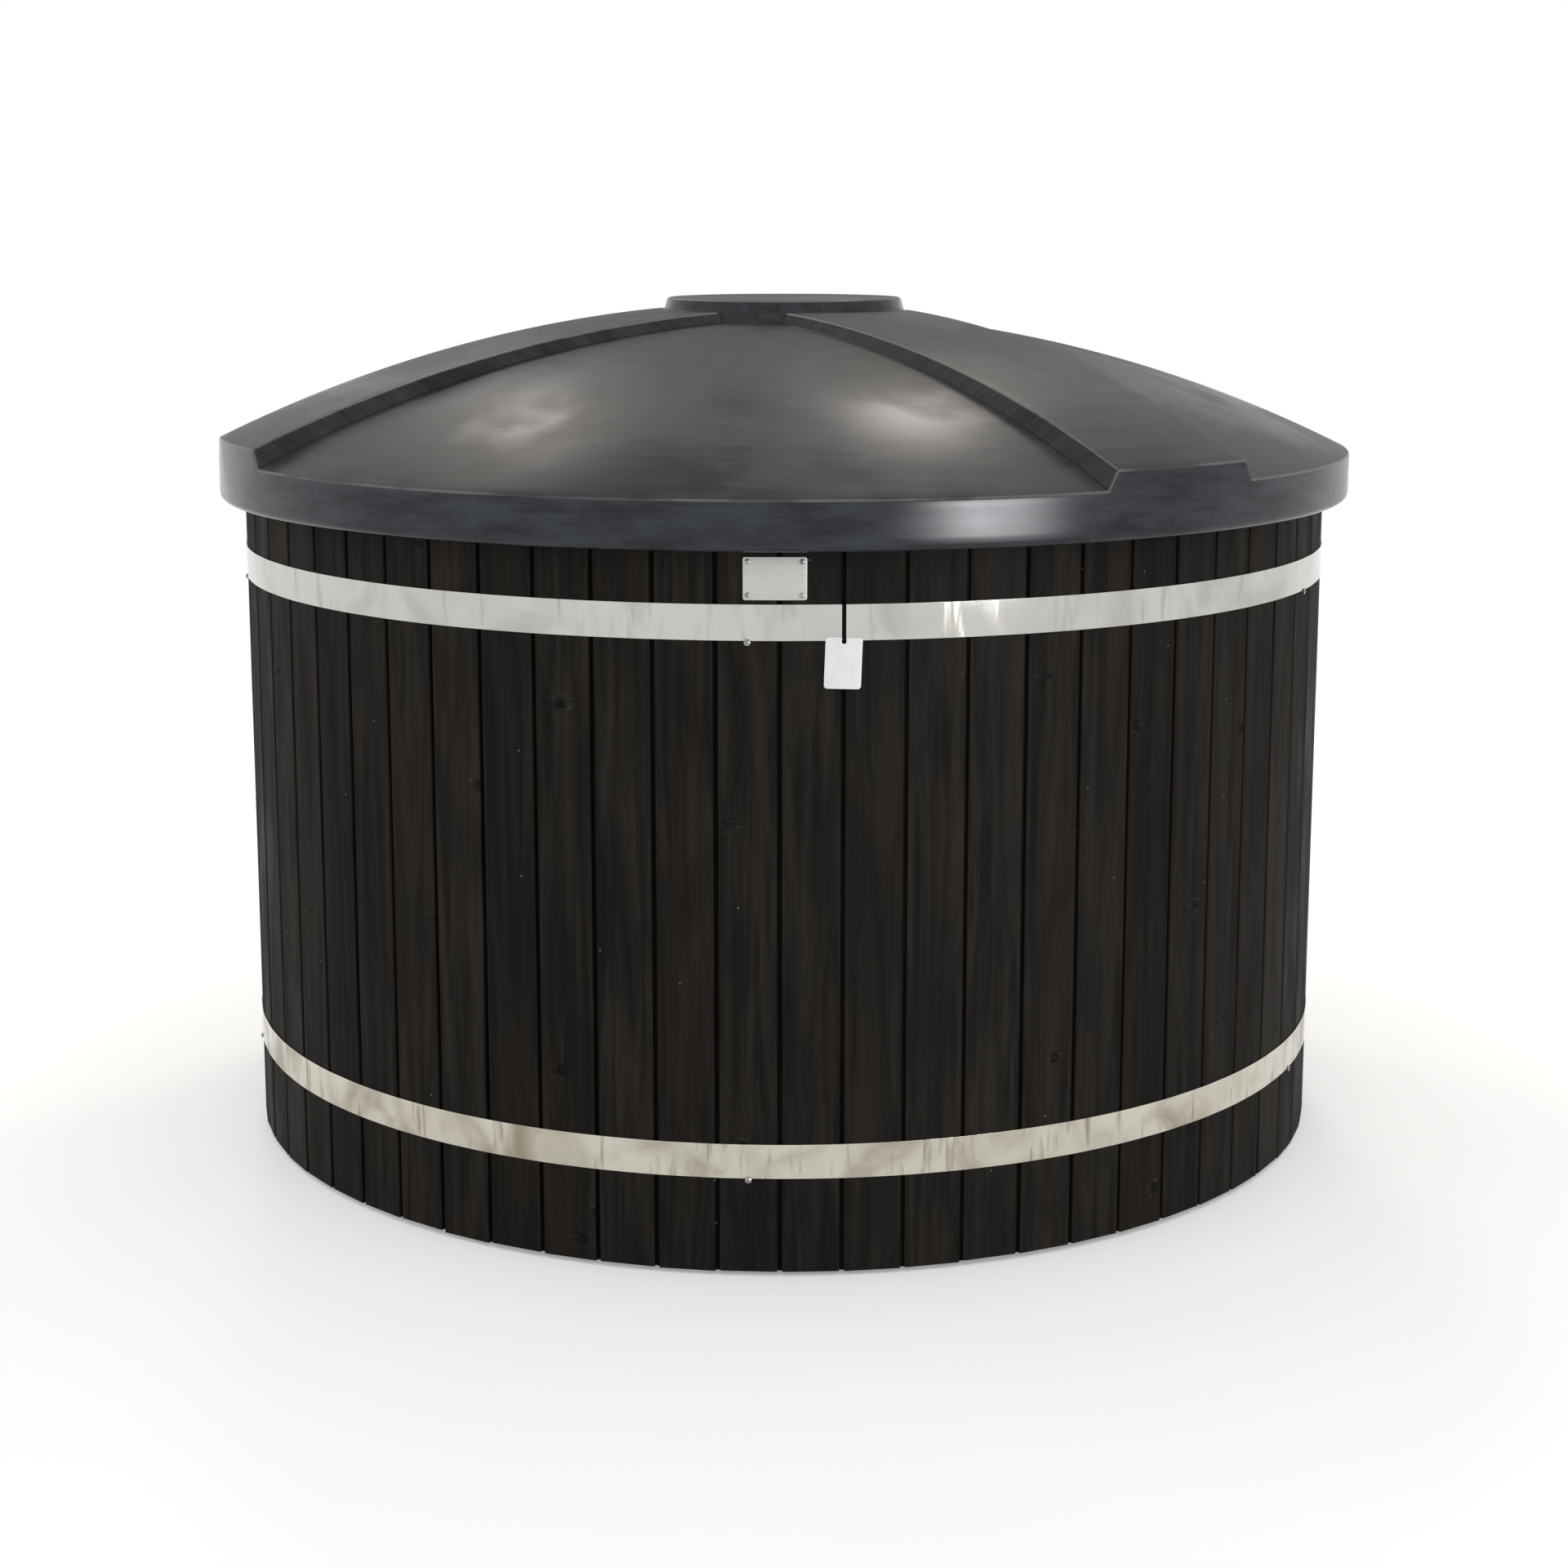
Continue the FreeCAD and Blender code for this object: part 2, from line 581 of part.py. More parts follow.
def tag_loop():
    """A flat loop round the band: up the front, over the top edge, down the seam, through the tag."""
    back = BAND_INNER - PLAY - LOOP_THICKNESS
    front = TAG_FRONT + PLAY + LOOP_THICKNESS
    bottom = TAG_PIVOT - LOOP_THICKNESS / 2
    top = UPPER_BAND_TOP + PLAY + LOOP_THICKNESS
    half = Vector(LOOP_WIDTH / 2, 0, 0)
    thick = Vector(0, LOOP_THICKNESS, LOOP_THICKNESS)
    outer_low = Vector(0, -front, bottom)
    outer_high = Vector(0, -back, top)
    outer = box(outer_low - half, outer_high + half)
    inner = box(outer_low + thick - half, outer_high - thick + half)
    return turned(outer.cut(inner), TAG_AZIMUTH)


# Base

def joist_places():
    """The joists' distances from the middle, left to right."""
    return [step * JOIST_SPACING for step in range(-JOISTS_PER_SIDE, JOISTS_PER_SIDE + 1)]


def joist_half_length(place):
    """Half a joist's length, so that its ends stay inside the cladding."""
    reach = CLAD_INNER - JOIST_END_GAP
    return math.sqrt(reach ** 2 - (abs(place) + JOIST_WIDTH / 2) ** 2)


def joist(place):
    """A joist from front to back."""
    half = JOIST_WIDTH / 2
    length = joist_half_length(place)
    return box(Vector(place - half, -length, PAD_THICKNESS), Vector(place + half, length, DECK_BOTTOM))


def joist_pads():
    """Rubber pads under the middle and both ends of every joist."""
    half = JOIST_WIDTH / 2
    pads = []
    for place in joist_places():
        last = joist_half_length(place) - PAD_LENGTH / 2
        for middle in (-last, 0, last):
            low = Vector(place - half, middle - PAD_LENGTH / 2, 0)
            pads.append(box(low, Vector(place + half, middle + PAD_LENGTH / 2, PAD_THICKNESS)))
    return Part.makeCompound(pads)


def base_deck():
    """The round deck under the basin, with the hole for the drain's nut."""
    deck = cylinder(CLAD_INNER - SEAT, DECK_BOTTOM, DECK_TOP)
    return deck.cut(drain_drop(DRAIN_NUT_RADIUS + DECK_HOLE_MARGIN, DECK_BOTTOM, DECK_TOP))


# Basin

def tub_shell():
    """The moulded basin: rim over the boards, wall, bench round the footwell, and floor."""
    wall = SHELL_WALL
    shell = lathe([
        (0, FLOOR_TOP, 0),
        (WELL_RADIUS, FLOOR_TOP, FLOOR_ROUND),
        (WELL_RADIUS, BENCH_HEIGHT, BENCH_NOSE_ROUND),
        (BASIN_RADIUS, BENCH_HEIGHT, BENCH_ROUND),
        (BASIN_RADIUS, RIM_TOP, RIM_ROUND),
        (RIM_RADIUS, RIM_TOP, 0),
        (RIM_RADIUS, RIM_BOTTOM, 0),
        (BASIN_RADIUS + wall, RIM_BOTTOM, RIM_ROUND - wall),
        (BASIN_RADIUS + wall, BENCH_HEIGHT - wall, BENCH_ROUND + wall),
        (WELL_RADIUS + wall, BENCH_HEIGHT - wall, BENCH_NOSE_ROUND - wall),
        (WELL_RADIUS + wall, SHELL_BOTTOM, FLOOR_ROUND + wall),
        (0, SHELL_BOTTOM, 0),
    ])
    for radius, height in ((BASIN_RADIUS, FLOW_HEIGHT), (WELL_RADIUS, RETURN_HEIGHT)):
        inside = radius - OVERRUN
        outside = radius + wall + OVERRUN
        hole = radial_rod(HEATER_PIPE_RADIUS + SEAT, inside, outside, height)
        shell = shell.cut(turned(hole, HEATER_AZIMUTH))
    return shell.cut(drain_drop(DRAIN_SOCKET, SHELL_BOTTOM - OVERRUN, FLOOR_TOP + OVERRUN))


def insulation_jacket():
    """The foam jacket between basin and boards, from the deck to the rim, open for the pipes."""
    inner = BASIN_RADIUS + SHELL_WALL + PLAY
    jacket = ring(inner, CLAD_INNER - SEAT, DECK_TOP + SEAT, RIM_BOTTOM - RIM_ROUND)
    nut_room = HEATER_NUT_RADIUS + NUT_RIB_RADIUS + PLAY
    pipe_room = HEATER_PIPE_RADIUS + SEAT
    for radius, height in ((nut_room, FLOW_HEIGHT), (pipe_room, RETURN_HEIGHT)):
        hole = radial_rod(radius, BASIN_RADIUS, CLAD_CORNER, height)
        jacket = jacket.cut(turned(hole, HEATER_AZIMUTH))
    return jacket


def bench_posts():
    """Posts from the deck to the bench, spread round the footwell clear of the return pipe."""
    middle = (WELL_RADIUS + BASIN_RADIUS) / 2
    half = BENCH_POST_WIDTH / 2
    top = BENCH_HEIGHT - SHELL_WALL - SEAT
    post = box(Vector(-half, -middle - half, DECK_TOP), Vector(half, -middle + half, top))
    step = FULL_TURN / BENCH_POST_COUNT
    return Part.makeCompound([turned(post, step * (index + 1 / 2)) for index in range(BENCH_POST_COUNT)])


# Heater connections

def ribbed_nut(bore, radius, height, ribs):
    """A round hand-tightened nut with ribs, standing on the origin."""
    nut = cylinder(radius, 0, height)
    rib = Part.makeCylinder(NUT_RIB_RADIUS, height, Vector(radius, 0, 0))
    for index in range(ribs):
        nut = nut.fuse(turned(rib, FULL_TURN * index / ribs))
    return nut.removeSplitter().cut(cylinder(bore, 0, height))


def heater_fitting(name, wall_radius, height):
    """A flanged pipe through the basin's wall and the cladding, with gasket, nut and grommet."""
    flange_back = math.sqrt(wall_radius ** 2 - HEATER_FLANGE_RADIUS ** 2) - GASKET_THICKNESS
    flange_front = flange_back - HEATER_FLANGE_THICKNESS
    shoulder = STAVE_FACE + GROMMET_FLANGE_THICKNESS + HEATER_SHOULDER
    spigot_end = shoulder + HEATER_SPIGOT_LENGTH
    pipe = radial_rod(HEATER_PIPE_RADIUS, flange_front, shoulder, height)
    pipe = pipe.fuse(radial_rod(HEATER_FLANGE_RADIUS, flange_front, flange_back, height))
    pipe = pipe.fuse(radial_rod(HEATER_SPIGOT_RADIUS, shoulder, spigot_end, height))
    pipe = pipe.cut(radial_rod(HEATER_BORE_RADIUS, flange_front, spigot_end, height))

    gasket = radial_rod(HEATER_FLANGE_RADIUS, flange_back, wall_radius, height)
    gasket = gasket.cut(radial_rod(HEATER_PIPE_RADIUS + SEAT, flange_back, wall_radius, height))
    reach = HEATER_FLANGE_RADIUS + OVERRUN
    gasket = gasket.common(cylinder(wall_radius - SEAT, height - reach, height + reach))

    nut = ribbed_nut(HEATER_PIPE_RADIUS + SEAT, HEATER_NUT_RADIUS, HEATER_NUT_HEIGHT, HEATER_NUT_RIBS)
    nut = facing_out(nut, 0, wall_radius + SHELL_WALL + SEAT, height)

    face = STAVE_FACE + SEAT
    flange_end = face + GROMMET_FLANGE_THICKNESS
    grommet = radial_rod(GROMMET_RADIUS, CLAD_INNER, flange_end, height)
    grommet = grommet.fuse(radial_rod(GROMMET_FLANGE_RADIUS, face, flange_end, height))
    grommet = grommet.cut(radial_rod(HEATER_PIPE_RADIUS + SEAT, CLAD_INNER, flange_end, height))

    pieces = {"pipe": pipe, "gasket": gasket, "nut": nut, "grommet": grommet}
    placed = {}
    for piece, shape in pieces.items():
        placed["heater_%s_%s" % (name, piece)] = turned(shape, HEATER_AZIMUTH)
    return placed


# Drain

def drain_rod(radius, start, end):
    """A rod along the drain's level run, between two places from front to back."""
    return Part.makeCylinder(radius, end - start, Vector(DRAIN_X, start, DRAIN_AXIS_HEIGHT), TO_BACK)


def drain_drop(radius, bottom, top):
    """A rod along the drain's upright stretch."""
    return Part.makeCylinder(radius, top - bottom, Vector(DRAIN_X, DRAIN_SETBACK, bottom))


def drain_strainer():
    """The flanged drain in the footwell floor, with its strainer holes and tail pipe."""
    seat = FLOOR_TOP + GASKET_THICKNESS + SEAT
    top = seat + STRAINER_THICKNESS
    tail_end = ELBOW_TOP - ELBOW_SOCKET + SOCKET_STOP
    drain = drain_drop(STRAINER_RADIUS, seat, top)
    drain = drain.fuse(drain_drop(DRAIN_PIPE_RADIUS, tail_end, seat))
    drain = drain.cut(drain_drop(DRAIN_BORE, tail_end, seat))
    circle = DRAIN_BORE * STRAINER_CIRCLE_SHARE
    middle = Vector(DRAIN_X, DRAIN_SETBACK, seat)
    places = [middle]
    for index in range(STRAINER_HOLES):
        turn = math.radians(FULL_TURN * index / STRAINER_HOLES)
        places.append(middle + Vector(math.cos(turn), math.sin(turn), 0) * circle)
    for place in places:
        drain = drain.cut(Part.makeCylinder(STRAINER_HOLE_RADIUS, STRAINER_THICKNESS, place))
    return drain


def drain_gasket():
    """The gasket under the drain's flange."""
    top = FLOOR_TOP + GASKET_THICKNESS
    return drain_drop(STRAINER_RADIUS, FLOOR_TOP, top).cut(drain_drop(DRAIN_SOCKET, FLOOR_TOP, top))


def drain_nut():
    """The nut that pulls the drain down on the floor, inside the deck's hole."""
    nut = ribbed_nut(DRAIN_SOCKET, DRAIN_NUT_RADIUS, DRAIN_NUT_HEIGHT, HEATER_NUT_RIBS)
    nut.translate(Vector(DRAIN_X, DRAIN_SETBACK, SHELL_BOTTOM - DRAIN_NUT_HEIGHT - SEAT))
    return nut


def bent_rod(radius):
    """A quarter bend from the drain's upright stretch to its level run."""
    corner = Vector(DRAIN_X, DRAIN_SETBACK, DRAIN_AXIS_HEIGHT + ELBOW_BEND)
    face = Part.Face(Part.Wire(Part.makeCircle(radius, corner, AXIS)))
    return face.revolve(corner + TO_BACK * ELBOW_BEND, TO_SIDE, QUARTER_TURN)


def drain_elbow():
    """The elbow under the deck, with a socket at each end."""
    bend_top = ELBOW_TOP - ELBOW_SOCKET
    bend_end = ELBOW_END - ELBOW_SOCKET
    elbow = bent_rod(ELBOW_OUTER).cut(bent_rod(DRAIN_BORE))
    upright = drain_drop(ELBOW_OUTER, bend_top, ELBOW_TOP)
    upright = upright.cut(drain_drop(DRAIN_SOCKET, bend_top, ELBOW_TOP))
    level = drain_rod(ELBOW_OUTER, bend_end, ELBOW_END)
    level = level.cut(drain_rod(DRAIN_SOCKET, bend_end, ELBOW_END))
    return elbow.fuse([upright, level])


def drain_pipe():
    """The level pipe from the elbow to the valve outside the cladding."""
    start = ELBOW_END - ELBOW_SOCKET + SOCKET_STOP
    end = VALVE_Y - TAIL_REACH + VALVE_TAIL_LENGTH - SOCKET_STOP
    return drain_rod(DRAIN_PIPE_RADIUS, start, end).cut(drain_rod(DRAIN_BORE, start, end))


def drain_sleeve():
    """The rubber sleeve round the pipe where it leaves the cladding."""
    start = CLAD_INNER - SLEEVE_STAND_OUT
    end = CLAD_CORNER + SLEEVE_STAND_OUT
    return drain_rod(SLEEVE_RADIUS, start, end).cut(drain_rod(DRAIN_SOCKET, start, end))


# Drain valve, closed, with its lever across the pipe

def along_drain(shape, facing):
    """A valve piece, modelled upright on the origin, laid along the drain at the valve's middle."""
    moved = shape.copy()
    moved.Placement = Placement(VALVE_MIDDLE, Rotation(TO_SIDE, -QUARTER_TURN * facing))
    return moved


def valve_body():
    """The barrel round the ball, with the stem's neck on top."""
    cavity = VALVE_BALL_RADIUS + PLAY
    barrel = along_drain(cylinder(VALVE_BARREL_RADIUS, -VALVE_BARREL_HALF, VALVE_BARREL_HALF), 1)
    rise = NECK_TOP - DRAIN_AXIS_HEIGHT
    neck = Part.makeCylinder(NECK_RADIUS, rise, VALVE_MIDDLE)
    stem_way = Part.makeCylinder(STEM_RADIUS + STEM_RUNNING_PLAY, rise, VALVE_MIDDLE)
    hollow = along_drain(cylinder(cavity, -VALVE_BARREL_HALF, VALVE_BARREL_HALF), 1)
    return barrel.fuse(neck).cut(hollow).cut(stem_way)


def valve_tail(spigot_length):
    """A flanged end that a union nut clamps to the barrel, with a socket or a spigot."""
    start = VALVE_BARREL_HALF + SEAT
    flange_end = start + VALVE_TAIL_FLANGE
    end = flange_end + VALVE_TAIL_LENGTH
    tail = cylinder(VALVE_BARREL_RADIUS, start, flange_end)
    tail = tail.fuse(cylinder(VALVE_TAIL_RADIUS, flange_end, end))
    if spigot_length:
        last = end + spigot_length
        tail = tail.fuse(cylinder(DRAIN_PIPE_RADIUS, end, last))
        return tail.cut(cylinder(VALVE_BORE_RADIUS, start, last))
    tail = tail.cut(cylinder(VALVE_BORE_RADIUS, start, end))
    return tail.cut(cylinder(DRAIN_SOCKET, flange_end, end))


def union_nut():
    """A ribbed union nut over a barrel's end and a tail's flange."""
    start = VALVE_BARREL_HALF - UNION_NUT_COVER
    shoulder = VALVE_BARREL_HALF + VALVE_TAIL_FLANGE + 2 * SEAT
    end = shoulder + UNION_NUT_LIP
    outer = VALVE_BARREL_RADIUS + UNION_NUT_WALL
    nut = ribbed_nut(VALVE_TAIL_RADIUS + SEAT, outer, end - start, UNION_NUT_RIBS)
    nut.translate(AXIS * start)
    return nut.cut(cylinder(VALVE_BARREL_RADIUS + SEAT, start, shoulder))


def valve_seat():
    """A sealing ring between a tail and the ball."""
    blank = ring(VALVE_BORE_RADIUS, VALVE_BALL_RADIUS, NECK_RADIUS, VALVE_BARREL_HALF - SEAT_BACK_GAP)
    return blank.cut(Part.makeSphere(VALVE_BALL_RADIUS + PLAY))


def both_ends(shape):
    """A valve piece at the inlet and its twin at the outlet."""
    return Part.makeCompound([along_drain(shape, -1), along_drain(shape, 1)])


def tang(play):
    """The flat key between stem and ball, with room all round."""
    middle = VALVE_MIDDLE + AXIS * VALVE_BALL_RADIUS
    half = Vector(TANG_LENGTH / 2 + play, TANG_WIDTH / 2 + play, 0)
    low = middle - half - AXIS * (TANG_DEPTH + play)
    return box(low, middle + half + AXIS * PLAY)


def valve_ball():
    """The ball, its bore across the pipe while closed, with the slot for the stem's key."""
    start = VALVE_MIDDLE - TO_SIDE * VALVE_BALL_RADIUS
    bore = Part.makeCylinder(VALVE_BORE_RADIUS, 2 * VALVE_BALL_RADIUS, start, TO_SIDE)
    return Part.makeSphere(VALVE_BALL_RADIUS, VALVE_MIDDLE).cut(bore).cut(tang(SEAT))


def valve_stem():
    """The stem from the ball's slot up through the neck into the lever."""
    bottom = DRAIN_AXIS_HEIGHT + VALVE_BALL_RADIUS + PLAY
    place = Vector(DRAIN_X, VALVE_Y, bottom)
    stem = Part.makeCylinder(STEM_RADIUS, LEVER_TOP - bottom, place).fuse(tang(0))
    screw_hole = Part.makeCylinder(LEVER_SCREW_RADIUS + SEAT, LEVER_SCREW_LENGTH + OVERRUN,
                                   Vector(DRAIN_X, VALVE_Y, LEVER_TOP - LEVER_SCREW_LENGTH - SEAT))
    return stem.removeSplitter().cut(screw_hole)


def valve_lever():
    """The lever: a hub on the stem and a tapering arm that points across the pipe."""
    hub = cylinder(LEVER_HUB_RADIUS, LEVER_BOTTOM, LEVER_TOP)
    arm_bottom = LEVER_TOP - LEVER_ARM_HEIGHT
    tip = LEVER_LENGTH - LEVER_TIP_RADIUS
    root_half = LEVER_HUB_RADIUS - LEVER_EDGE_ROUND
    roots = [Vector(0, side * root_half, arm_bottom) for side in (-1, 1)]
    ends = [Vector(tip, side * LEVER_TIP_RADIUS, arm_bottom) for side in (-1, 1)]
    edges = [
        Part.LineSegment(roots[0], ends[0]).toShape(),
        Part.Arc(ends[0], Vector(LEVER_LENGTH, 0, arm_bottom), ends[1]).toShape(),
        Part.LineSegment(ends[1], roots[1]).toShape(),
        Part.LineSegment(roots[1], roots[0]).toShape(),
    ]
    arm = Part.Face(Part.Wire(edges)).extrude(AXIS * LEVER_ARM_HEIGHT)
    level = [edge for edge in arm.Edges if abs(edge.tangentAt(edge.FirstParameter).z) < LEVEL_TILT_SHARE]
    arm = arm.makeFillet(LEVER_EDGE_ROUND, level)
    lever = hub.fuse(arm).cut(cylinder(STEM_RADIUS + SEAT, LEVER_BOTTOM, LEVER_TOP))
    lever.translate(Vector(DRAIN_X, VALVE_Y, 0))
    return lever


def lever_screw():
    """The screw that holds the lever on the stem."""
    head_radius = STEM_RADIUS + LEVER_SCREW_HEAD_RIM
    fixing = screw(head_radius, LEVER_SCREW_HEAD_HEIGHT, LEVER_SCREW_RADIUS, LEVER_SCREW_LENGTH)
    fixing.translate(Vector(DRAIN_X, VALVE_Y, LEVER_TOP + SEAT))
    return fixing


# Lid

def dome(apex, rim):
    """Radius and centre height of the ball that a dome's top belongs to."""
    rise = apex - rim
    radius = (LID_RADIUS ** 2 + rise ** 2) / (2 * rise)
    return radius, apex - radius


def lid_drum(apex, rim, inset):
    """A turned body under a dome, with a rounded rim and lower edge, drawn in all round."""
    ball, middle = dome(apex, rim)
    ball -= inset
    side = LID_RADIUS - inset
    floor = LID_BOTTOM + inset
    drum = lathe([
        (0, floor, 0),
        (side, floor, LID_LIP_ROUND - inset),
        (side, apex, 0),
        (0, apex, 0),
    ])
    corner = math.sqrt(ball ** 2 - side ** 2) + middle
    rounding = LID_RIM_ROUND
    near = side - rounding
    reach = math.sqrt((ball - rounding) ** 2 - near ** 2)
    cap = Part.makeSphere(ball, Vector(0, 0, middle))
    drum = drum.common(cap)
    tangent = near * ball / (ball - rounding)
    waste = ring(tangent, LID_RADIUS + OVERRUN, middle + reach, corner + OVERRUN)
    roll = Part.makeTorus(near, rounding, Vector(0, 0, middle + reach))
    return drum.cut(waste.cut(roll))


def rib_bar(azimuth, inset):
    """A rib's blank, swung about the dome's ball from the apex to past the rim, with sloped sides."""
    ball, middle = dome(RIB_APEX, RIB_RIM)
    slope = RIB_WALL_RUN / RIB_WALL_DROP
    depth = RIB_WALL_DROP + RIB_RIM_HEIGHT
    half = RIB_WIDTH / 2 - inset
    spread = half + slope * depth
    top = RIB_APEX + OVERRUN
    bottom = RIB_APEX - depth
    corners = [
        Vector(-half + slope * OVERRUN, 0, top),
        Vector(half - slope * OVERRUN, 0, top),
        Vector(spread, 0, bottom),
        Vector(-spread, 0, bottom),
    ]
    section = Part.Face(Part.makePolygon(corners + corners[:1]))
    swing = math.degrees(math.asin((LID_RADIUS + LID_SKIRT_WIDTH) / ball))
    bar = section.revolve(Vector(0, 0, middle), TO_SIDE, swing)
    return turned(bar, azimuth)


def lid_volume(inset):
    """The lid's whole outer form, drawn in all round by an inset."""
    form = lid_drum(RECESS_APEX, RECESS_RIM, inset)
    rib_drum = lid_drum(RIB_APEX, RIB_RIM, inset)
    for azimuth in RIB_AZIMUTHS:
        form = form.fuse(rib_drum.common(rib_bar(azimuth, inset)))
    foot = HUB_RADIUS + HUB_WALL_RUN - inset
    hub = lathe([
        (0, RECESS_RIM, 0),
        (foot, RECESS_RIM, 0),
        (foot, RECESS_APEX - inset, 0),
        (HUB_RADIUS - inset, HUB_TOP - inset, HUB_ROUND),
        (0, HUB_TOP - inset, 0),
    ])
    return form.fuse(hub).removeSplitter()


def lid_shell():
    """The lid's outer skin, open underneath inside its rounded lower edge."""
    opening = LID_RADIUS - LID_LIP_ROUND
    mouth = cylinder(opening, LID_BOTTOM - OVERRUN, LID_BOTTOM + LID_WALL + OVERRUN)
    return lid_volume(0).cut(lid_volume(LID_WALL)).cut(mouth)


def lid_liner():
    """The lid's underside: a dish whose lip closes the skirt's lower edge."""
    meeting = LID_RADIUS - LID_LIP_ROUND - SEAT
    upstand = LID_LIP_RADIUS + LID_WALL
    return lathe([
        (0, LID_CEILING, 0),
        (LID_LIP_RADIUS, LID_CEILING, 0),
        (LID_LIP_RADIUS, LID_BOTTOM, 0),
        (meeting, LID_BOTTOM, 0),
        (meeting, LID_BOTTOM + LID_WALL, 0),
        (upstand, LID_BOTTOM + LID_WALL, 0),
        (upstand, LID_CEILING + LID_WALL, 0),
        (0, LID_CEILING + LID_WALL, 0),
    ])


def lid_foam():
    """The foam board that lies on the liner under the dome."""
    return cylinder(LID_LIP_RADIUS, LID_CEILING + LID_WALL, RECESS_RIM)


def lid_seal():
    """The sealing ring under the liner, over the basin's rim."""
    middle = (BASIN_RADIUS + RIM_ROUND + RIM_RADIUS) / 2
    return ring(middle - SEAL_WIDTH / 2, middle + SEAL_WIDTH / 2, RIM_TOP + PLAY, LID_CEILING)


def assembly():
    """Every node of the tub by name."""
    nodes = {
        "lid_shell": lid_shell(),
        "lid_liner": lid_liner(),
        "lid_foam": lid_foam(),
        "lid_seal": lid_seal(),
        "tub_shell": tub_shell(),
        "insulation_jacket": insulation_jacket(),
        "base_deck": base_deck(),
        "joist_pads": joist_pads(),
        "bench_posts": bench_posts(),
        "upper_band": band(UPPER_BAND_BOTTOM),
        "lower_band": band(LOWER_BAND_BOTTOM),
        "upper_tension_bolt": tension_bolt(UPPER_BAND_BOTTOM),
        "lower_tension_bolt": tension_bolt(LOWER_BAND_BOTTOM),
        "upper_tension_nut": tension_nut(UPPER_BAND_BOTTOM),
        "lower_tension_nut": tension_nut(LOWER_BAND_BOTTOM),
        "band_support_screws": support_screws(),
        "nameplate": nameplate(),
        "nameplate_screws": plate_screws(),
        "swing_tag": swing_tag(),
        "tag_loop": tag_loop(),
        "drain_strainer": drain_strainer(),
        "drain_gasket": drain_gasket(),
        "drain_nut": drain_nut(),
        "drain_elbow": drain_elbow(),
        "drain_pipe": drain_pipe(),
        "drain_sleeve": drain_sleeve(),
        "drain_valve_body": valve_body(),
        "drain_valve_inlet": along_drain(valve_tail(0), -1),
        "drain_valve_outlet": along_drain(valve_tail(VALVE_SPIGOT_LENGTH), 1),
        "drain_union_nuts": both_ends(union_nut()),
        "drain_valve_seats": both_ends(valve_seat()),
        "drain_valve_ball": valve_ball(),
        "drain_valve_stem": valve_stem(),
        "drain_valve_lever": valve_lever(),
        "drain_lever_screw": lever_screw(),
    }
    nodes.update(stave_panels())
    nodes.update(heater_fitting("flow", BASIN_RADIUS, FLOW_HEIGHT))
    nodes.update(heater_fitting("return", WELL_RADIUS, RETURN_HEIGHT))
    for index, place in enumerate(joist_places()):
        nodes["joist_%d" % (index + 1)] = joist(place)
    return nodes


os.makedirs("parts", exist_ok=True)
for node, shape in assembly().items():
    shape.exportStep(os.path.join("parts", node + ".step"))
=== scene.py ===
import math
import random

import bpy
from mathutils import Matrix, Vector, noise


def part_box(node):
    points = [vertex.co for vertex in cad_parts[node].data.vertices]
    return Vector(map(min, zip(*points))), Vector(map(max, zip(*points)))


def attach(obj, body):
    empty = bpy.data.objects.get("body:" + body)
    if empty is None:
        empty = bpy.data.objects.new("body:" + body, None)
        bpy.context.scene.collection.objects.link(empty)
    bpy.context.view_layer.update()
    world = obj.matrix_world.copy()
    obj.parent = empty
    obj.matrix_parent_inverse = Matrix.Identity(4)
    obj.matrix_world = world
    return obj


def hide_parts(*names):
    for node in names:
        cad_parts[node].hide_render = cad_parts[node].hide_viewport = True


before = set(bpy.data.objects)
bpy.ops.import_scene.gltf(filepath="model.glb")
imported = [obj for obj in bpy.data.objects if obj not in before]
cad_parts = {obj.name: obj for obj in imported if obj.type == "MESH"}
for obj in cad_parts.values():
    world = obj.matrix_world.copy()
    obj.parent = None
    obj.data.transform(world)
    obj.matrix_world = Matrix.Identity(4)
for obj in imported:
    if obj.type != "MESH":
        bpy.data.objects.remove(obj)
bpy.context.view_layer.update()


# Joist pads: small blocks cut from black rubber sheet. They lie loose under the joists
# and keep the timber off wet ground.

def paint(red, green, blue):
    """A colour given on a scale of 255, as the light values that a shader takes."""
    def light(share):
        return share / 12.92 if share <= 0.04045 else ((share + 0.055) / 1.055) ** 2.4
    return (light(red / 255), light(green / 255), light(blue / 255), 1)


def new_finish(name, **plain):
    """A material with one Principled surface, whose plain sockets are set straight on it."""
    finish = bpy.data.materials.new(name)
    finish.use_nodes = True
    surface = finish.node_tree.nodes["Principled BSDF"]
    for socket, value in plain.items():
        surface.inputs[socket.replace("_", " ")].default_value = value
    return finish, finish.node_tree, surface


def put(tree, kind, inputs=None, **settings):
    """Adds a shader node with its settings, and its inputs as links or plain values."""
    made = tree.nodes.new("ShaderNode" + kind)
    for name, value in settings.items():
        setattr(made, name, value)
    for socket, value in (inputs or {}).items():
        if isinstance(value, bpy.types.NodeSocket):
            tree.links.new(value, made.inputs[socket])
        else:
            made.inputs[socket].default_value = value
    return made


def between(tree, share, first, second):
    """A colour that goes from a first one to a second one by a share, on the Mix node's colour sockets."""
    factor, start, end, result = 0, 6, 7, 2
    mix = put(tree, "Mix", {factor: share, start: first, end: second}, data_type="RGBA")
    return mix.outputs[result]


def within(tree, value, low, high, start=0.0, end=1.0):
    """A value's place between two levels, as a smooth step from a start to an end."""
    levels = {"Value": value, "From Min": low, "From Max": high, "To Min": start, "To Max": end}
    return put(tree, "MapRange", levels, interpolation_type="SMOOTHSTEP").outputs["Result"]


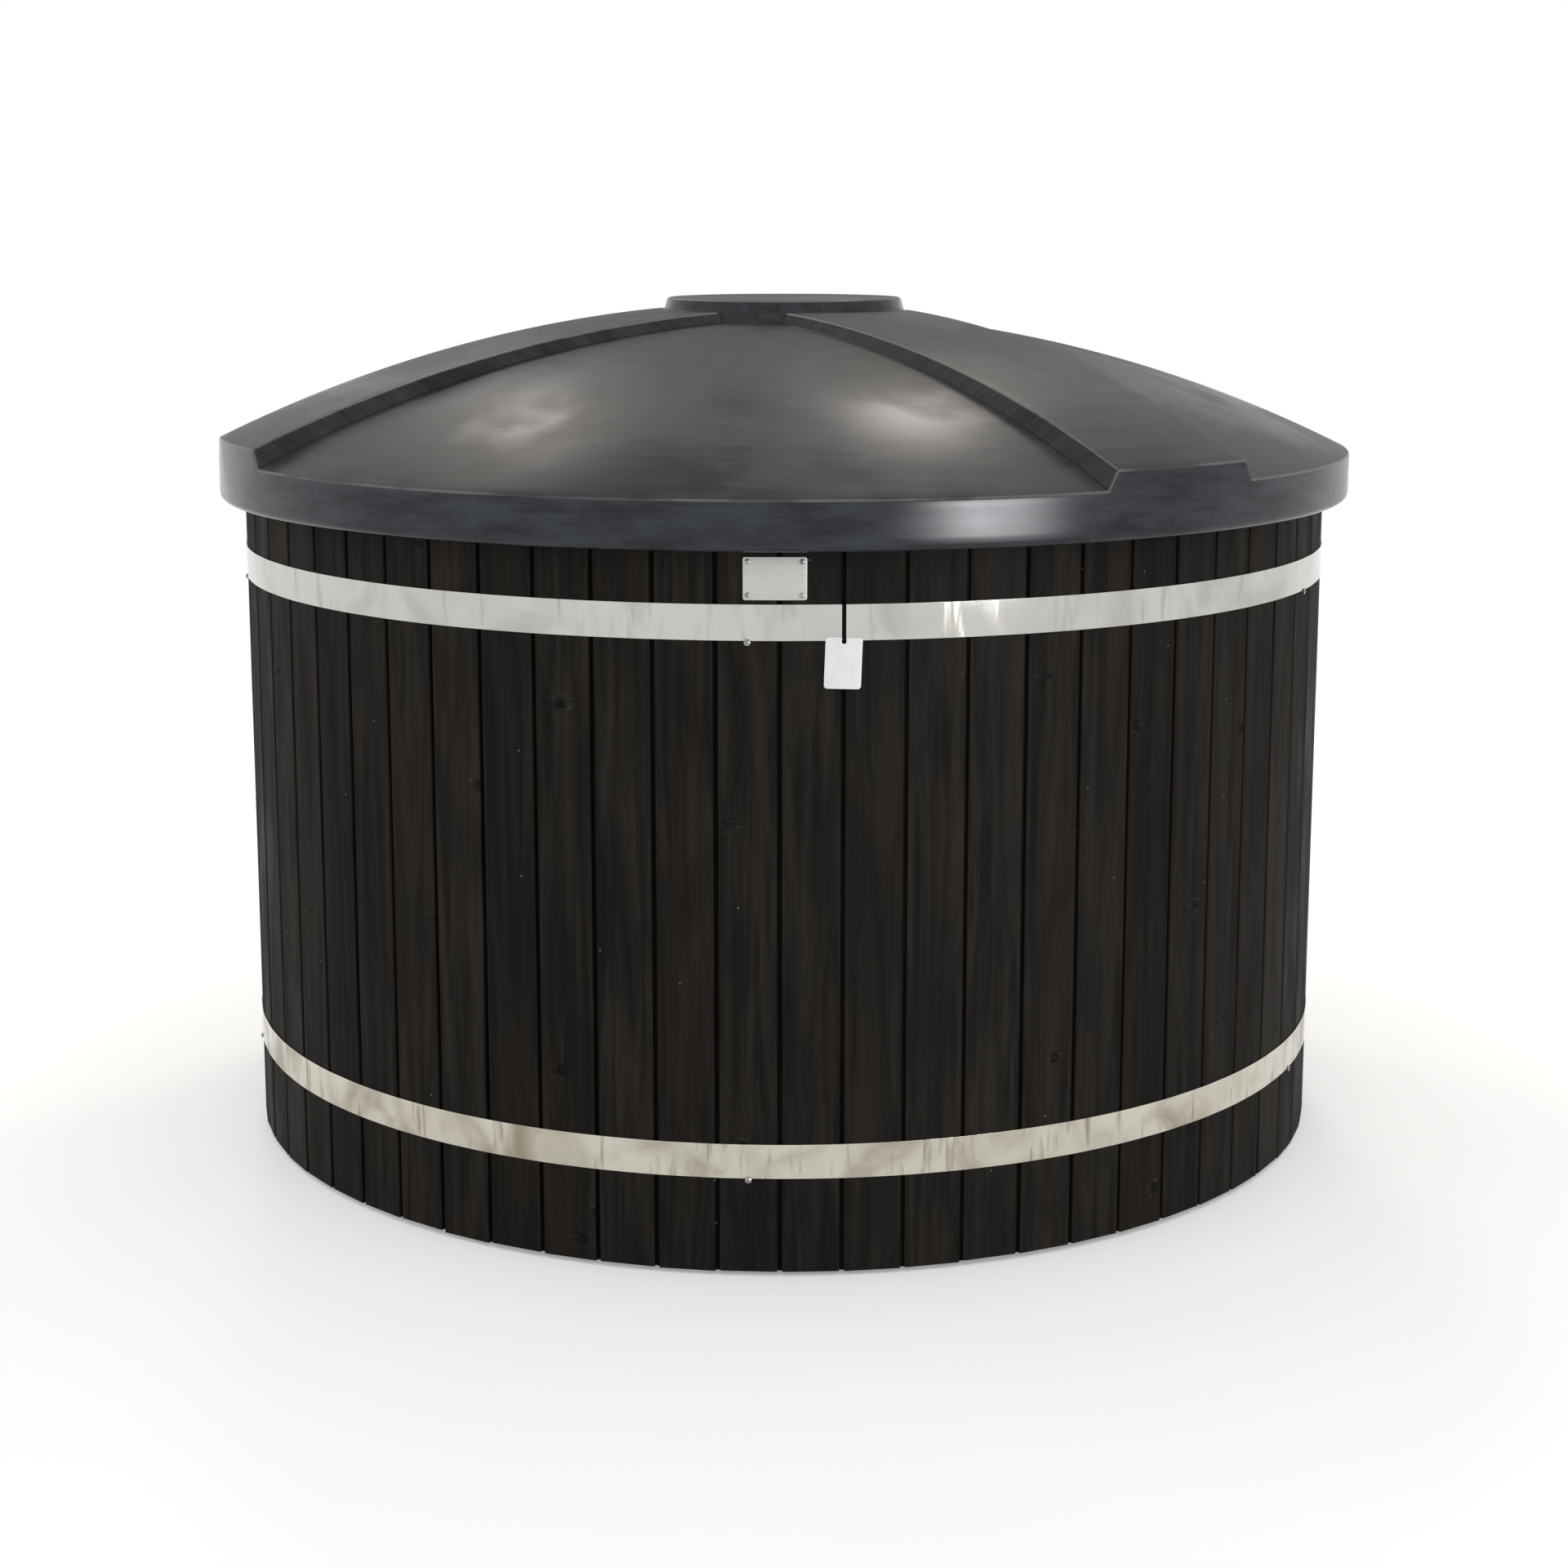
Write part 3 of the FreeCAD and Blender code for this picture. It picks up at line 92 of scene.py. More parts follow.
def sums(tree, operation, first, second):
    """Two values put together by a sum of some kind."""
    return put(tree, "Math", {0: first, 1: second}, operation=operation).outputs["Value"]


def new_group(name, takes, gives):
    """An empty node group with its named inputs and outputs, and its two end nodes."""
    group = bpy.data.node_groups.new(name, "ShaderNodeTree")
    for socket, kind in takes.items():
        group.interface.new_socket(socket, in_out="INPUT", socket_type="NodeSocket" + kind)
    for socket, kind in gives.items():
        group.interface.new_socket(socket, in_out="OUTPUT", socket_type="NodeSocket" + kind)
    return group, group.nodes.new("NodeGroupInput").outputs, group.nodes.new("NodeGroupOutput").inputs


mottle, takes, gives = new_group(
    "mottle",
    {"Vector": "Vector", "Clouds": "Float", "Pores": "Float"},
    {"Tone": "Float", "Height": "Float"})
clouds = put(mottle, "TexNoise", {"Vector": takes["Vector"], "Scale": takes["Clouds"], "Detail": 5.0})
pores = put(mottle, "TexNoise", {"Vector": takes["Vector"], "Scale": takes["Pores"], "Detail": 3.0})
mottle.links.new(within(mottle, clouds.outputs["Fac"], 0.3, 0.7), gives["Tone"])
mottle.links.new(pores.outputs["Fac"], gives["Height"])


def moulded(name, dark, light, rough, clouds, pores, relief, **plain):
    """A moulded rubber, plastic or foam, its clouds and pores counted to the metre, its relief in metres."""
    finish, tree, surface = new_finish(name, **plain)
    place = put(tree, "TexCoord").outputs["Object"]
    skin = put(tree, "Group", {"Vector": place, "Clouds": clouds, "Pores": pores}, node_tree=mottle)
    colour = between(tree, skin.outputs["Tone"], dark, light)
    gloss = within(tree, skin.outputs["Tone"], 0.0, 1.0, *rough)
    bump = put(tree, "Bump", {"Height": skin.outputs["Height"], "Distance": relief})
    tree.links.new(colour, surface.inputs["Base Color"])
    tree.links.new(gloss, surface.inputs["Roughness"])
    tree.links.new(bump.outputs["Normal"], surface.inputs["Normal"])
    return finish


def dress(finish, *names):
    """Gives CAD nodes a finish in place of the plain one they came with."""
    for name in names:
        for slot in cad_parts[name].material_slots:
            slot.material = finish


black_rubber = moulded("black rubber", dark=paint(20, 20, 20), light=paint(38, 38, 37),
                       rough=(0.6, 0.8), clouds=30, pores=900, relief=0.0003)
dress(black_rubber, "joist_pads")


# Joists: five planed lengths of pressure-treated pine, with the green-grey cast of the salts.
# They lie front to back on the pads, and the deck is nailed down on them.

JOISTS = ["joist_%d" % number for number in range(1, 6)]

fibre, takes, gives = new_group("wood fibre", {"Vector": "Vector"}, {"Ring": "Float", "Fibre": "Float"})
stretched = put(fibre, "Mapping", {"Vector": takes["Vector"], "Scale": (1.0, 1.0, 0.055)}).outputs["Vector"]
rings = put(fibre, "TexNoise", {"Vector": stretched, "Scale": 42.0, "Detail": 4.0, "Distortion": 1.4})
drawn = put(fibre, "Mapping", {"Vector": takes["Vector"], "Scale": (1.0, 1.0, 0.018)}).outputs["Vector"]
hairs = put(fibre, "TexNoise", {"Vector": drawn, "Scale": 520.0, "Detail": 3.0})
fibre.links.new(within(fibre, rings.outputs["Fac"], 0.32, 0.68), gives["Ring"])
fibre.links.new(within(fibre, hairs.outputs["Fac"], 0.3, 0.7), gives["Fibre"])


def timber(name, early, late, lay, rough, relief):
    """Bare sawn or peeled wood, its fibres turned to lie along a piece."""
    finish, tree, surface = new_finish(name, Specular_IOR_Level=0.3)
    place = put(tree, "TexCoord").outputs["Object"]
    laid = put(tree, "Mapping", {"Vector": place, "Rotation": lay}).outputs["Vector"]
    grain = put(tree, "Group", {"Vector": laid}, node_tree=fibre)
    colour = between(tree, grain.outputs["Ring"], early, late)
    bump = put(tree, "Bump", {"Height": grain.outputs["Fibre"], "Distance": relief})
    tree.links.new(colour, surface.inputs["Base Color"])
    tree.links.new(within(tree, grain.outputs["Fibre"], 0.0, 1.0, *rough), surface.inputs["Roughness"])
    tree.links.new(bump.outputs["Normal"], surface.inputs["Normal"])
    return finish


FRONT_TO_BACK = (math.pi / 2, 0.0, 0.0)
treated_pine = timber("treated pine", early=paint(176, 165, 122), late=paint(132, 121, 84),
                      lay=FRONT_TO_BACK, rough=(0.6, 0.8), relief=0.0004)
dress(treated_pine, *JOISTS)


# Base deck: one disc sawn from birch plywood. It lies on the joists, is nailed down on them, and
# carries the basin.

SIDE_TO_SIDE = (0.0, math.pi / 2, 0.0)
birch_ply = timber("birch plywood", early=paint(205, 178, 136), late=paint(176, 146, 103),
                   lay=SIDE_TO_SIDE, rough=(0.5, 0.7), relief=0.0002)
dress(birch_ply, "base_deck")


# Basin: one rotomoulded polyethylene shell with rim, bench and footwell. Its skin is satin,
# with the fine orange peel of the mould.

basin_plastic = moulded("basin plastic", dark=paint(176, 180, 182), light=paint(190, 193, 194),
                        rough=(0.28, 0.4), clouds=5, pores=320, relief=0.0002,
                        Coat_Weight=0.15, Coat_Roughness=0.2)
dress(basin_plastic, "tub_shell")


# Bench posts and insulation: upright pine blocks under the bench, and pale rigid foam
# that fills the space between basin and cladding.

UPRIGHT = (0.0, 0.0, 0.0)
post_pine = timber("post pine", early=paint(206, 180, 132), late=paint(170, 136, 88),
                   lay=UPRIGHT, rough=(0.6, 0.8), relief=0.0004)
rigid_foam = moulded("rigid foam", dark=paint(222, 214, 186), light=paint(236, 230, 208),
                     rough=(0.8, 0.95), clouds=40, pores=700, relief=0.0008)
dress(post_pine, "bench_posts")
dress(rigid_foam, "insulation_jacket", "lid_foam")


# Heater fittings: flanged stainless pipes through the basin's wall, each with a gasket, a ribbed
# plastic nut inside the wall and a rubber grommet where it leaves the cladding.

HEATER_FITTINGS = ("heater_flow_", "heater_return_")

smudge, takes, gives = new_group(
    "smudge", {"Vector": "Vector", "Smudges": "Float"}, {"Haze": "Float", "Scratch": "Float"})
wiped = put(smudge, "TexNoise", {"Vector": takes["Vector"], "Scale": takes["Smudges"],
                                 "Detail": 6.0, "Distortion": 0.6})
flat = put(smudge, "Mapping", {"Vector": takes["Vector"], "Scale": (30.0, 30.0, 900.0)}).outputs["Vector"]
lines = put(smudge, "TexNoise", {"Vector": flat, "Scale": 1.0, "Detail": 2.0})
smudge.links.new(within(smudge, wiped.outputs["Fac"], 0.4, 0.75), gives["Haze"])
smudge.links.new(within(smudge, lines.outputs["Fac"], 0.35, 0.65), gives["Scratch"])


def metal(name, bright, dull, rough, smudges, relief):
    """Bare metal: polish that varies with smudges, and fine lines along the piece."""
    finish, tree, surface = new_finish(name, Metallic=1.0)
    place = put(tree, "TexCoord").outputs["Object"]
    marks = put(tree, "Group", {"Vector": place, "Smudges": smudges}, node_tree=smudge)
    bump = put(tree, "Bump", {"Height": marks.outputs["Scratch"], "Distance": relief})
    tree.links.new(between(tree, marks.outputs["Haze"], bright, dull), surface.inputs["Base Color"])
    tree.links.new(within(tree, marks.outputs["Haze"], 0.0, 1.0, *rough), surface.inputs["Roughness"])
    tree.links.new(bump.outputs["Normal"], surface.inputs["Normal"])
    return finish


pipe_steel = metal("pipe steel", bright=paint(214, 213, 210), dull=paint(186, 184, 180),
                   rough=(0.24, 0.4), smudges=25, relief=0.00004)
nut_plastic = moulded("nut plastic", dark=paint(36, 37, 39), light=paint(52, 53, 55),
                      rough=(0.4, 0.55), clouds=40, pores=1200, relief=0.0001)
for fitting in HEATER_FITTINGS:
    dress(pipe_steel, fitting + "pipe")
    dress(nut_plastic, fitting + "nut")
    dress(black_rubber, fitting + "gasket", fitting + "grommet")


# Drain: a grey strainer flange in the footwell's floor, its gasket and nut, an elbow and a pipe
# under the deck, and a rubber sleeve where the pipe leaves the cladding.

drain_plastic = moulded("drain plastic", dark=paint(150, 153, 156), light=paint(168, 170, 172),
                        rough=(0.3, 0.45), clouds=30, pores=900, relief=0.0001)
dress(drain_plastic, "drain_strainer", "drain_elbow", "drain_pipe")
dress(nut_plastic, "drain_nut")
dress(black_rubber, "drain_gasket", "drain_sleeve")


# Drain valve: a solvent-welded ball valve in dark grey plastic with two ribbed union nuts, white
# seats, and a red lever held on the stem by one screw.

valve_plastic = moulded("valve plastic", dark=paint(76, 79, 83), light=paint(96, 98, 102),
                        rough=(0.3, 0.45), clouds=35, pores=900, relief=0.0001)
seat_plastic = moulded("seat plastic", dark=paint(226, 226, 220), light=paint(238, 238, 234),
                       rough=(0.3, 0.4), clouds=60, pores=900, relief=0.00005)
lever_plastic = moulded("lever plastic", dark=paint(158, 24, 20), light=paint(182, 34, 28),
                        rough=(0.28, 0.42), clouds=50, pores=900, relief=0.0001)
screw_steel = metal("screw steel", bright=paint(164, 163, 160), dull=paint(120, 118, 114),
                    rough=(0.3, 0.5), smudges=60, relief=0.00003)
dress(valve_plastic, "drain_valve_body", "drain_valve_inlet", "drain_valve_outlet", "drain_union_nuts",
      "drain_valve_ball", "drain_valve_stem")
dress(seat_plastic, "drain_valve_seats")
dress(lever_plastic, "drain_valve_lever")
dress(screw_steel, "drain_lever_screw")


# Cladding: sixty-three planed tongue-and-groove boards of stained softwood, near black, standing
# on end round the insulation. Their front edges are eased, and a shadow gap shows at each seam.

BOARD_COUNT = 63
PANEL_COUNT = 9
PANEL_BOARDS = BOARD_COUNT // PANEL_COUNT
BOARD_PITCH = 0.088
BOARD_THICKNESS = 0.020
BOARD_FOOT = 0.006
BOARD_HEAD = 1.048
SHADOW_GAP = 0.007
BACK_GAP = 0.001
LIP_DEPTH = 0.0065
TONGUE_THICKNESS = 0.006
TONGUE_REACH = 0.005
GROOVE_PLAY = 0.0004
EASED_EDGE = 0.0015
EASED_END = 0.0010
FOOT_UNEVEN = 0.0025
SEAT_UNEVEN = 0.0003
# How far the left and right eased edges are lightened: partly wear, partly a painted highlight that is
# stronger on the left.
LEFT_WEAR_AND_HIGHLIGHT = 1.0
RIGHT_WEAR_AND_HIGHLIGHT = 0.35
BOARD_TURN = 2 * math.pi / BOARD_COUNT
BOARD_FACE = (BOARD_PITCH / 2 / math.tan(BOARD_TURN / 2)
              + (SHADOW_GAP / 2 + EASED_EDGE) * math.sin(BOARD_TURN / 2))
HEATER_BOARD = 31
HEATER_HOLE = 0.0295
HEATER_HEIGHTS = (0.72605, 0.3421)
DRAIN_BOARD = 30
DRAIN_HOLE = 0.0276
DRAIN_AXIS = (0.08778, 0.088)
DRILL_LENGTH = 0.1
DRILL_SIDES = 64
BOARD_SEED = 7
PATTERN_SHIFT = 9
NEAR = 0.0002
ALONG = 0.9
ACROSS = 0.1

stain, tree, surface = new_finish("black stain", Specular_IOR_Level=0.05)
along_board = put(tree, "UVMap", uv_map="UVMap").outputs["UV"]
flat_board = put(tree, "Mapping", {"Vector": along_board, "Rotation": FRONT_TO_BACK}).outputs["Vector"]
grain = put(tree, "Group", {"Vector": flat_board}, node_tree=fibre)


def drawn_out(scale, detail):
    """A soft pattern on the boards, with its own scale across and along them."""
    laid = put(tree, "Mapping", {"Vector": along_board, "Scale": (*scale, 1.0)}).outputs["Vector"]
    return put(tree, "TexNoise", {"Vector": laid, "Scale": 1.0, "Detail": detail}).outputs["Fac"]


def strewn(scale, core, edge, rare):
    """Small round marks strewn over the boards, fading from core to edge, of which only a few show."""
    cell = put(tree, "TexVoronoi", {"Vector": along_board, "Scale": scale}, voronoi_dimensions="2D").outputs
    luck = put(tree, "SeparateColor", {"Color": cell["Color"]}).outputs["Red"]
    near = within(tree, cell["Distance"], core, edge, start=1.0, end=0.0)
    return sums(tree, "MULTIPLY", near, within(tree, luck, rare, rare + 0.01))


def tinted(colour, share, tint, most):
    """The colour so far with a tint laid over it, by a share up to the most that it covers."""
    return between(tree, sums(tree, "MULTIPLY", share, most), colour, tint)


KNOTS = {"scale": 5.0, "rare": 0.68}
streak = within(tree, drawn_out(scale=(80, 4), detail=4.0), 0.5, 0.75)
cloud = within(tree, drawn_out(scale=(15, 4), detail=4.0), 0.4, 0.7)
warm = within(tree, drawn_out(scale=(9, 1.6), detail=3.0), 0.48, 0.75)
knot = strewn(core=0.03, edge=0.055, **KNOTS)
cracks = within(tree, drawn_out(scale=(45, 200), detail=4.0), 0.56, 0.72)
cracked = sums(tree, "MULTIPLY", strewn(core=0.06, edge=0.13, **KNOTS), cracks)
speck = strewn(scale=20.0, core=0.018, edge=0.034, rare=0.95)
board_tone = put(tree, "Attribute", attribute_name="board_tone").outputs["Fac"]
painted_edge_light_and_wear = put(tree, "Attribute", attribute_name="painted_edge_light_and_wear").outputs["Fac"]
groove = put(tree, "Attribute", attribute_name="groove").outputs["Fac"]
body = between(tree, grain.outputs["Ring"], paint(27, 25, 23), paint(47, 43, 39))
body = tinted(body, warm, paint(53, 43, 34), most=0.4)
body = tinted(body, streak, paint(58, 52, 44), most=0.4)
body = tinted(body, grain.outputs["Fibre"], paint(14, 13, 12), most=0.12)
body = tinted(body, cloud, paint(17, 17, 17), most=0.55)
body = tinted(body, board_tone, paint(17, 16, 15), most=0.5)
body = tinted(body, knot, paint(13, 12, 11), most=0.75)
body = tinted(body, cracked, paint(84, 80, 74), most=0.5)
# Eased edges lightened: partly wear, partly a painted highlight where the bevel catches light.
body = tinted(body, painted_edge_light_and_wear, paint(88, 68, 54), most=0.6)
# Painted shade: the faces back in the seams, behind the eased edges, are darkened almost to black.
body = tinted(body, groove, paint(5, 5, 5), most=0.92)
body = tinted(body, speck, paint(140, 136, 128), most=0.6)
tree.links.new(body, surface.inputs["Base Color"])
dull_fibre = sums(tree, "MULTIPLY", grain.outputs["Fibre"], 0.08)
gloss = sums(tree, "ADD", within(tree, cloud, 0.0, 1.0, start=0.66, end=0.5), dull_fibre)
tree.links.new(gloss, surface.inputs["Roughness"])
relief = sums(tree, "SUBTRACT", sums(tree, "ADD", grain.outputs["Fibre"], grain.outputs["Ring"]), knot)
bump = put(tree, "Bump", {"Height": relief, "Distance": 0.00014}).outputs["Normal"]
tree.links.new(bump, surface.inputs["Normal"])


def start_with(shape, scale=(1, 1, 1), **sizes):
    """Adds a primitive with nothing else selected, puts its place and size into its mesh, and gives it."""
    bpy.ops.object.select_all(action="DESELECT")
    getattr(bpy.ops.mesh, "primitive_" + shape + "_add")(**sizes)
    bpy.context.object.scale = scale
    bpy.ops.object.transform_apply(location=True, rotation=True, scale=True)
    return bpy.context.object


def pick(piece, kind, test):
    """Leaves a piece in edit mode with only those vertices, edges or faces selected that pass a test."""
    bpy.ops.object.mode_set(mode="EDIT")
    bpy.ops.mesh.select_mode(type=kind)
    bpy.ops.mesh.select_all(action="DESELECT")
    bpy.ops.object.mode_set(mode="OBJECT")
    mesh = piece.data
    if kind == "FACE":
        for face in mesh.polygons:
            face.select = test(face.center, face.normal)
    elif kind == "EDGE":
        for edge in mesh.edges:
            ends = [mesh.vertices[index].co for index in edge.vertices]
            edge.select = test((ends[0] + ends[1]) / 2, (ends[1] - ends[0]).normalized())
    else:
        for vertex in mesh.vertices:
            vertex.select = test(vertex.co)
    bpy.ops.object.mode_set(mode="EDIT")


def pull(way):
    """Extrudes what is selected in edit mode by a way."""
    bpy.ops.mesh.extrude_region_move(TRANSFORM_OT_translate={"value": way})


def leave():
    """Goes back from edit mode."""
    bpy.ops.object.mode_set(mode="OBJECT")


def finish_with(piece, kind, **settings):
    """Adds a modifier to a piece with its settings, and applies it."""
    bpy.context.view_layer.objects.active = piece
    modifier = piece.modifiers.new(kind.lower(), kind)
    for name, value in settings.items():
        setattr(modifier, name, value)
    bpy.ops.object.modifier_apply(modifier=modifier.name)


def show(piece, name, finish, body, slot, *stands_for):
    """Names a finished piece, gives it its finish, and sets it on its body in place of CAD nodes."""
    piece.name = name
    piece.data.name = name
    piece.data.materials.clear()
    piece.data.materials.append(finish)
    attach(piece, body)
    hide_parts(*stands_for)


lip_half = BOARD_PITCH / 2 - SHADOW_GAP / 2
back_step = (SHADOW_GAP - BACK_GAP) / 2
lip_line = LIP_DEPTH - BOARD_FACE
tongue_line = lip_line + TONGUE_THICKNESS
board = start_with("cube", size=1, scale=(2 * lip_half, BOARD_THICKNESS, BOARD_HEAD - BOARD_FOOT),
                   location=(0, BOARD_THICKNESS / 2 - BOARD_FACE, (BOARD_FOOT + BOARD_HEAD) / 2))
bpy.ops.object.mode_set(mode="EDIT")
for line in (lip_line, tongue_line):
    bpy.ops.mesh.select_all(action="SELECT")
    bpy.ops.mesh.bisect(plane_co=(0, line, 0), plane_no=(0, 1, 0))
for side in (1, -1):
    pick(board, "FACE", lambda middle, normal: normal.x * side > ALONG and middle.y > lip_line)
    pull((side * back_step, 0, 0))
pick(board, "FACE", lambda middle, normal: normal.x > ALONG and lip_line < middle.y < tongue_line)
pull((TONGUE_REACH + BACK_GAP / 2, 0, 0))
pick(board, "FACE", lambda middle, normal: normal.x < -ALONG and lip_line < middle.y < tongue_line)
pull((TONGUE_REACH + GROOVE_PLAY - BACK_GAP / 2, 0, 0))
leave()
for vertex in board.data.vertices:
    vertex.co.x -= math.copysign((vertex.co.y + BOARD_FACE) * math.tan(BOARD_TURN / 2), vertex.co.x)
pick(board, "EDGE", lambda middle, way: abs(way.z) > ALONG and middle.y < NEAR - BOARD_FACE)
bpy.ops.mesh.bevel(offset=EASED_EDGE, segments=3, affect="EDGES")
pick(board, "EDGE", lambda middle, way: abs(way.z) < ACROSS and middle.y < EASED_EDGE / 2 - BOARD_FACE)
bpy.ops.mesh.bevel(offset=EASED_END, segments=2, affect="EDGES")
bpy.ops.mesh.select_all(action="SELECT")
bpy.ops.mesh.normals_make_consistent(inside=False)
leave()
bpy.ops.object.shade_smooth_by_angle(angle=math.radians(35))

chance = random.Random(BOARD_SEED)
eased_from = lip_half - EASED_EDGE / 2
drilled = {HEATER_BOARD: [(0, height, HEATER_HOLE) for height in HEATER_HEIGHTS],
           DRAIN_BOARD: [(*DRAIN_AXIS, DRAIN_HOLE)]}
for panel_index in range(PANEL_COUNT):
    copies = []
    first_board = panel_index * PANEL_BOARDS
    for board_index in range(first_board, first_board + PANEL_BOARDS):
        mesh = board.data.copy()
        tone = chance.random()
        foot_lift = chance.random() * FOOT_UNEVEN
        set_back = chance.random() * SEAT_UNEVEN
        shift = (chance.uniform(0, PATTERN_SHIFT), chance.uniform(0, PATTERN_SHIFT))
        for corner, place in zip(mesh.uv_layers[0].data, mesh.loops):
            spot = mesh.vertices[place.vertex_index].co
            corner.uv = (spot.x + shift[0], spot.z + shift[1])
        # Eased edges lightened by a random share per side: partly wear, partly a painted highlight, stronger
        # on the left.
        rubbed_and_highlit = {1: chance.random() * RIGHT_WEAR_AND_HIGHLIGHT, -1: chance.random() * LEFT_WEAR_AND_HIGHLIGHT}
        wear_and_painted_light = [rubbed_and_highlit[math.copysign(1, vertex.co.x)] if abs(vertex.co.x) > eased_from else 0
                for vertex in mesh.vertices]
        # Painted shade: 1 on the faces behind the eased edge, inside the seam's gap.
        groove_shade = [1.0 if vertex.co.y > EASED_EDGE + NEAR - BOARD_FACE else 0.0 for vertex in mesh.vertices]
        for vertex in mesh.vertices:
            vertex.co.y += set_back
            vertex.co.z += foot_lift if vertex.co.z < BOARD_FOOT + 2 * EASED_END else 0
        painted = {"board_tone": [tone] * len(mesh.vertices), "painted_edge_light_and_wear": wear_and_painted_light, "groove": groove_shade}
        for mark, values in painted.items():
            mesh.attributes.new(mark, "FLOAT", "POINT").data.foreach_set("value", values)
        mesh.transform(Matrix.Rotation((board_index + 1 / 2) * BOARD_TURN, 4, "Z"))
        copy = bpy.data.objects.new("board", mesh)
        bpy.context.collection.objects.link(copy)
        copies.append(copy)
        for across, height, radius in drilled.get(board_index, []):
            drill = start_with("cylinder", vertices=DRILL_SIDES, radius=radius, depth=DRILL_LENGTH,
                               location=(across, BOARD_FACE, height), rotation=(math.pi / 2, 0, 0))
            finish_with(copy, "BOOLEAN", object=drill, operation="DIFFERENCE", solver="MANIFOLD")
            bpy.data.objects.remove(drill)
    bpy.ops.object.select_all(action="DESELECT")
    for copy in copies:
        copy.select_set(True)
    bpy.context.view_layer.objects.active = copies[0]
    bpy.ops.object.join()
    panel = bpy.context.object
    finish_with(panel, "WEIGHTED_NORMAL", keep_sharp=True)
    name = "cladding_%d" % (panel_index + 1)
    show(panel, name, stain, "tub", "stave_wood", "staves_%d" % (panel_index + 1))
bpy.data.objects.remove(board)


# Bands: two strips of polished stainless steel round the cladding. Each lies flat on the boards'
# edges, so it sags a little between them, and its ends are turned out in lugs at the back.

BAND_HEIGHT = 0.050
BAND_THICKNESS = 0.0012
BAND_OUTER = 0.884035
BAND_BOTTOMS = {"upper": 0.912, "lower": 0.1455}
POINTS_PER_BOARD = 16
BAND_POINTS = BOARD_COUNT * POINTS_PER_BOARD
BAND_SAG = 0.00045
LEAST_SAG_SHARE = 0.25
BAND_EDGE = 0.0003
LUG_AZIMUTH = math.radians(200)
LUG_GAP = 0.036
LUG_THICKNESS = 0.003
LUG_REACH = 0.026
LUG_CORNER = 0.009
LUG_EDGE = 0.0006


def round_spot(azimuth, radius, height):
    """A point round the tub, its azimuth counted from the front towards the right."""
    return Vector((radius * math.sin(azimuth), -radius * math.cos(azimuth), height))


def azimuth_of(spot):
    """The azimuth of a point, from the front towards the right, from 0 to a full turn."""
    return math.atan2(spot.x, -spot.y) % (2 * math.pi)


def band(bottom, sags):
    """A hoop of strip, drawn up from a circle that sags between the boards' edges, with its lugs."""
    hoop = start_with("circle", vertices=BAND_POINTS, radius=BAND_OUTER, fill_type="NOTHING",
                      location=(0, 0, bottom))
    half_gap = (LUG_GAP / 2 + LUG_THICKNESS / 2) / BAND_OUTER
    pick(hoop, "VERT", lambda spot: abs(azimuth_of(spot) - LUG_AZIMUTH) < half_gap)
    bpy.ops.mesh.delete(type="VERT")
    leave()
    for vertex in hoop.data.vertices:
        azimuth = azimuth_of(vertex.co)
        along = azimuth / BOARD_TURN
        sag = sags[int(along) % BOARD_COUNT] * math.sin(math.pi * (along % 1)) ** 2
        vertex.co = round_spot(azimuth, BAND_OUTER - sag, bottom)
    pick(hoop, "VERT", lambda spot: True)
    pull((0, 0, BAND_HEIGHT))
    bpy.ops.mesh.select_all(action="SELECT")
    bpy.ops.mesh.normals_make_consistent(inside=False)
    leave()
    finish_with(hoop, "SOLIDIFY", thickness=BAND_THICKNESS, offset=-1)
    finish_with(hoop, "BEVEL", width=BAND_EDGE, segments=3, limit_method="ANGLE")
    lugs = []
    for side in (1, -1):
        lug = start_with("cube", size=1, scale=(LUG_THICKNESS, LUG_REACH + BAND_THICKNESS, BAND_HEIGHT),
                         location=(side * (LUG_GAP + LUG_THICKNESS) / 2,
                                   -BAND_OUTER - (LUG_REACH - BAND_THICKNESS) / 2,
                                   bottom + BAND_HEIGHT / 2))
        pick(lug, "EDGE", lambda middle, way: abs(way.x) > ALONG and middle.y < -BAND_OUTER - LUG_REACH / 2)
        bpy.ops.mesh.bevel(offset=LUG_CORNER, segments=6, affect="EDGES")
        leave()
        finish_with(lug, "BEVEL", width=LUG_EDGE, segments=2, limit_method="ANGLE")
        lug.data.transform(Matrix.Rotation(LUG_AZIMUTH, 4, "Z"))
        lugs.append(lug)
    bpy.ops.object.select_all(action="DESELECT")
    for piece in [hoop] + lugs:
        piece.select_set(True)
    bpy.context.view_layer.objects.active = hoop
    bpy.ops.object.join()
    bpy.ops.object.shade_smooth_by_angle(angle=math.radians(40))
    finish_with(hoop, "WEIGHTED_NORMAL", keep_sharp=True)
    return hoop


def polished(name, bright, dull, clear, hazed, drip):
    """Polished strip: a mirror under wiped haze, with marks where water ran down."""
    finish, tree, surface = new_finish(name, Metallic=1.0)
    place = put(tree, "TexCoord").outputs["Object"]
    marks = put(tree, "Group", {"Vector": place, "Smudges": 9.0}, node_tree=smudge)
    down = put(tree, "Mapping", {"Vector": place, "Scale": (70.0, 70.0, 9.0)}).outputs["Vector"]
    runs = put(tree, "TexNoise", {"Vector": down, "Scale": 1.0, "Detail": 3.0}).outputs["Fac"]
    run = within(tree, runs, 0.52, 0.75, end=drip)
    dirt = sums(tree, "MAXIMUM", run, sums(tree, "MULTIPLY", marks.outputs["Haze"], drip))
    tree.links.new(between(tree, dirt, bright, dull), surface.inputs["Base Color"])
    tree.links.new(within(tree, dirt, 0.0, 1.0, start=clear, end=hazed), surface.inputs["Roughness"])
    bump = put(tree, "Bump", {"Height": marks.outputs["Scratch"], "Distance": 0.000002})
    tree.links.new(bump.outputs["Normal"], surface.inputs["Normal"])
    return finish


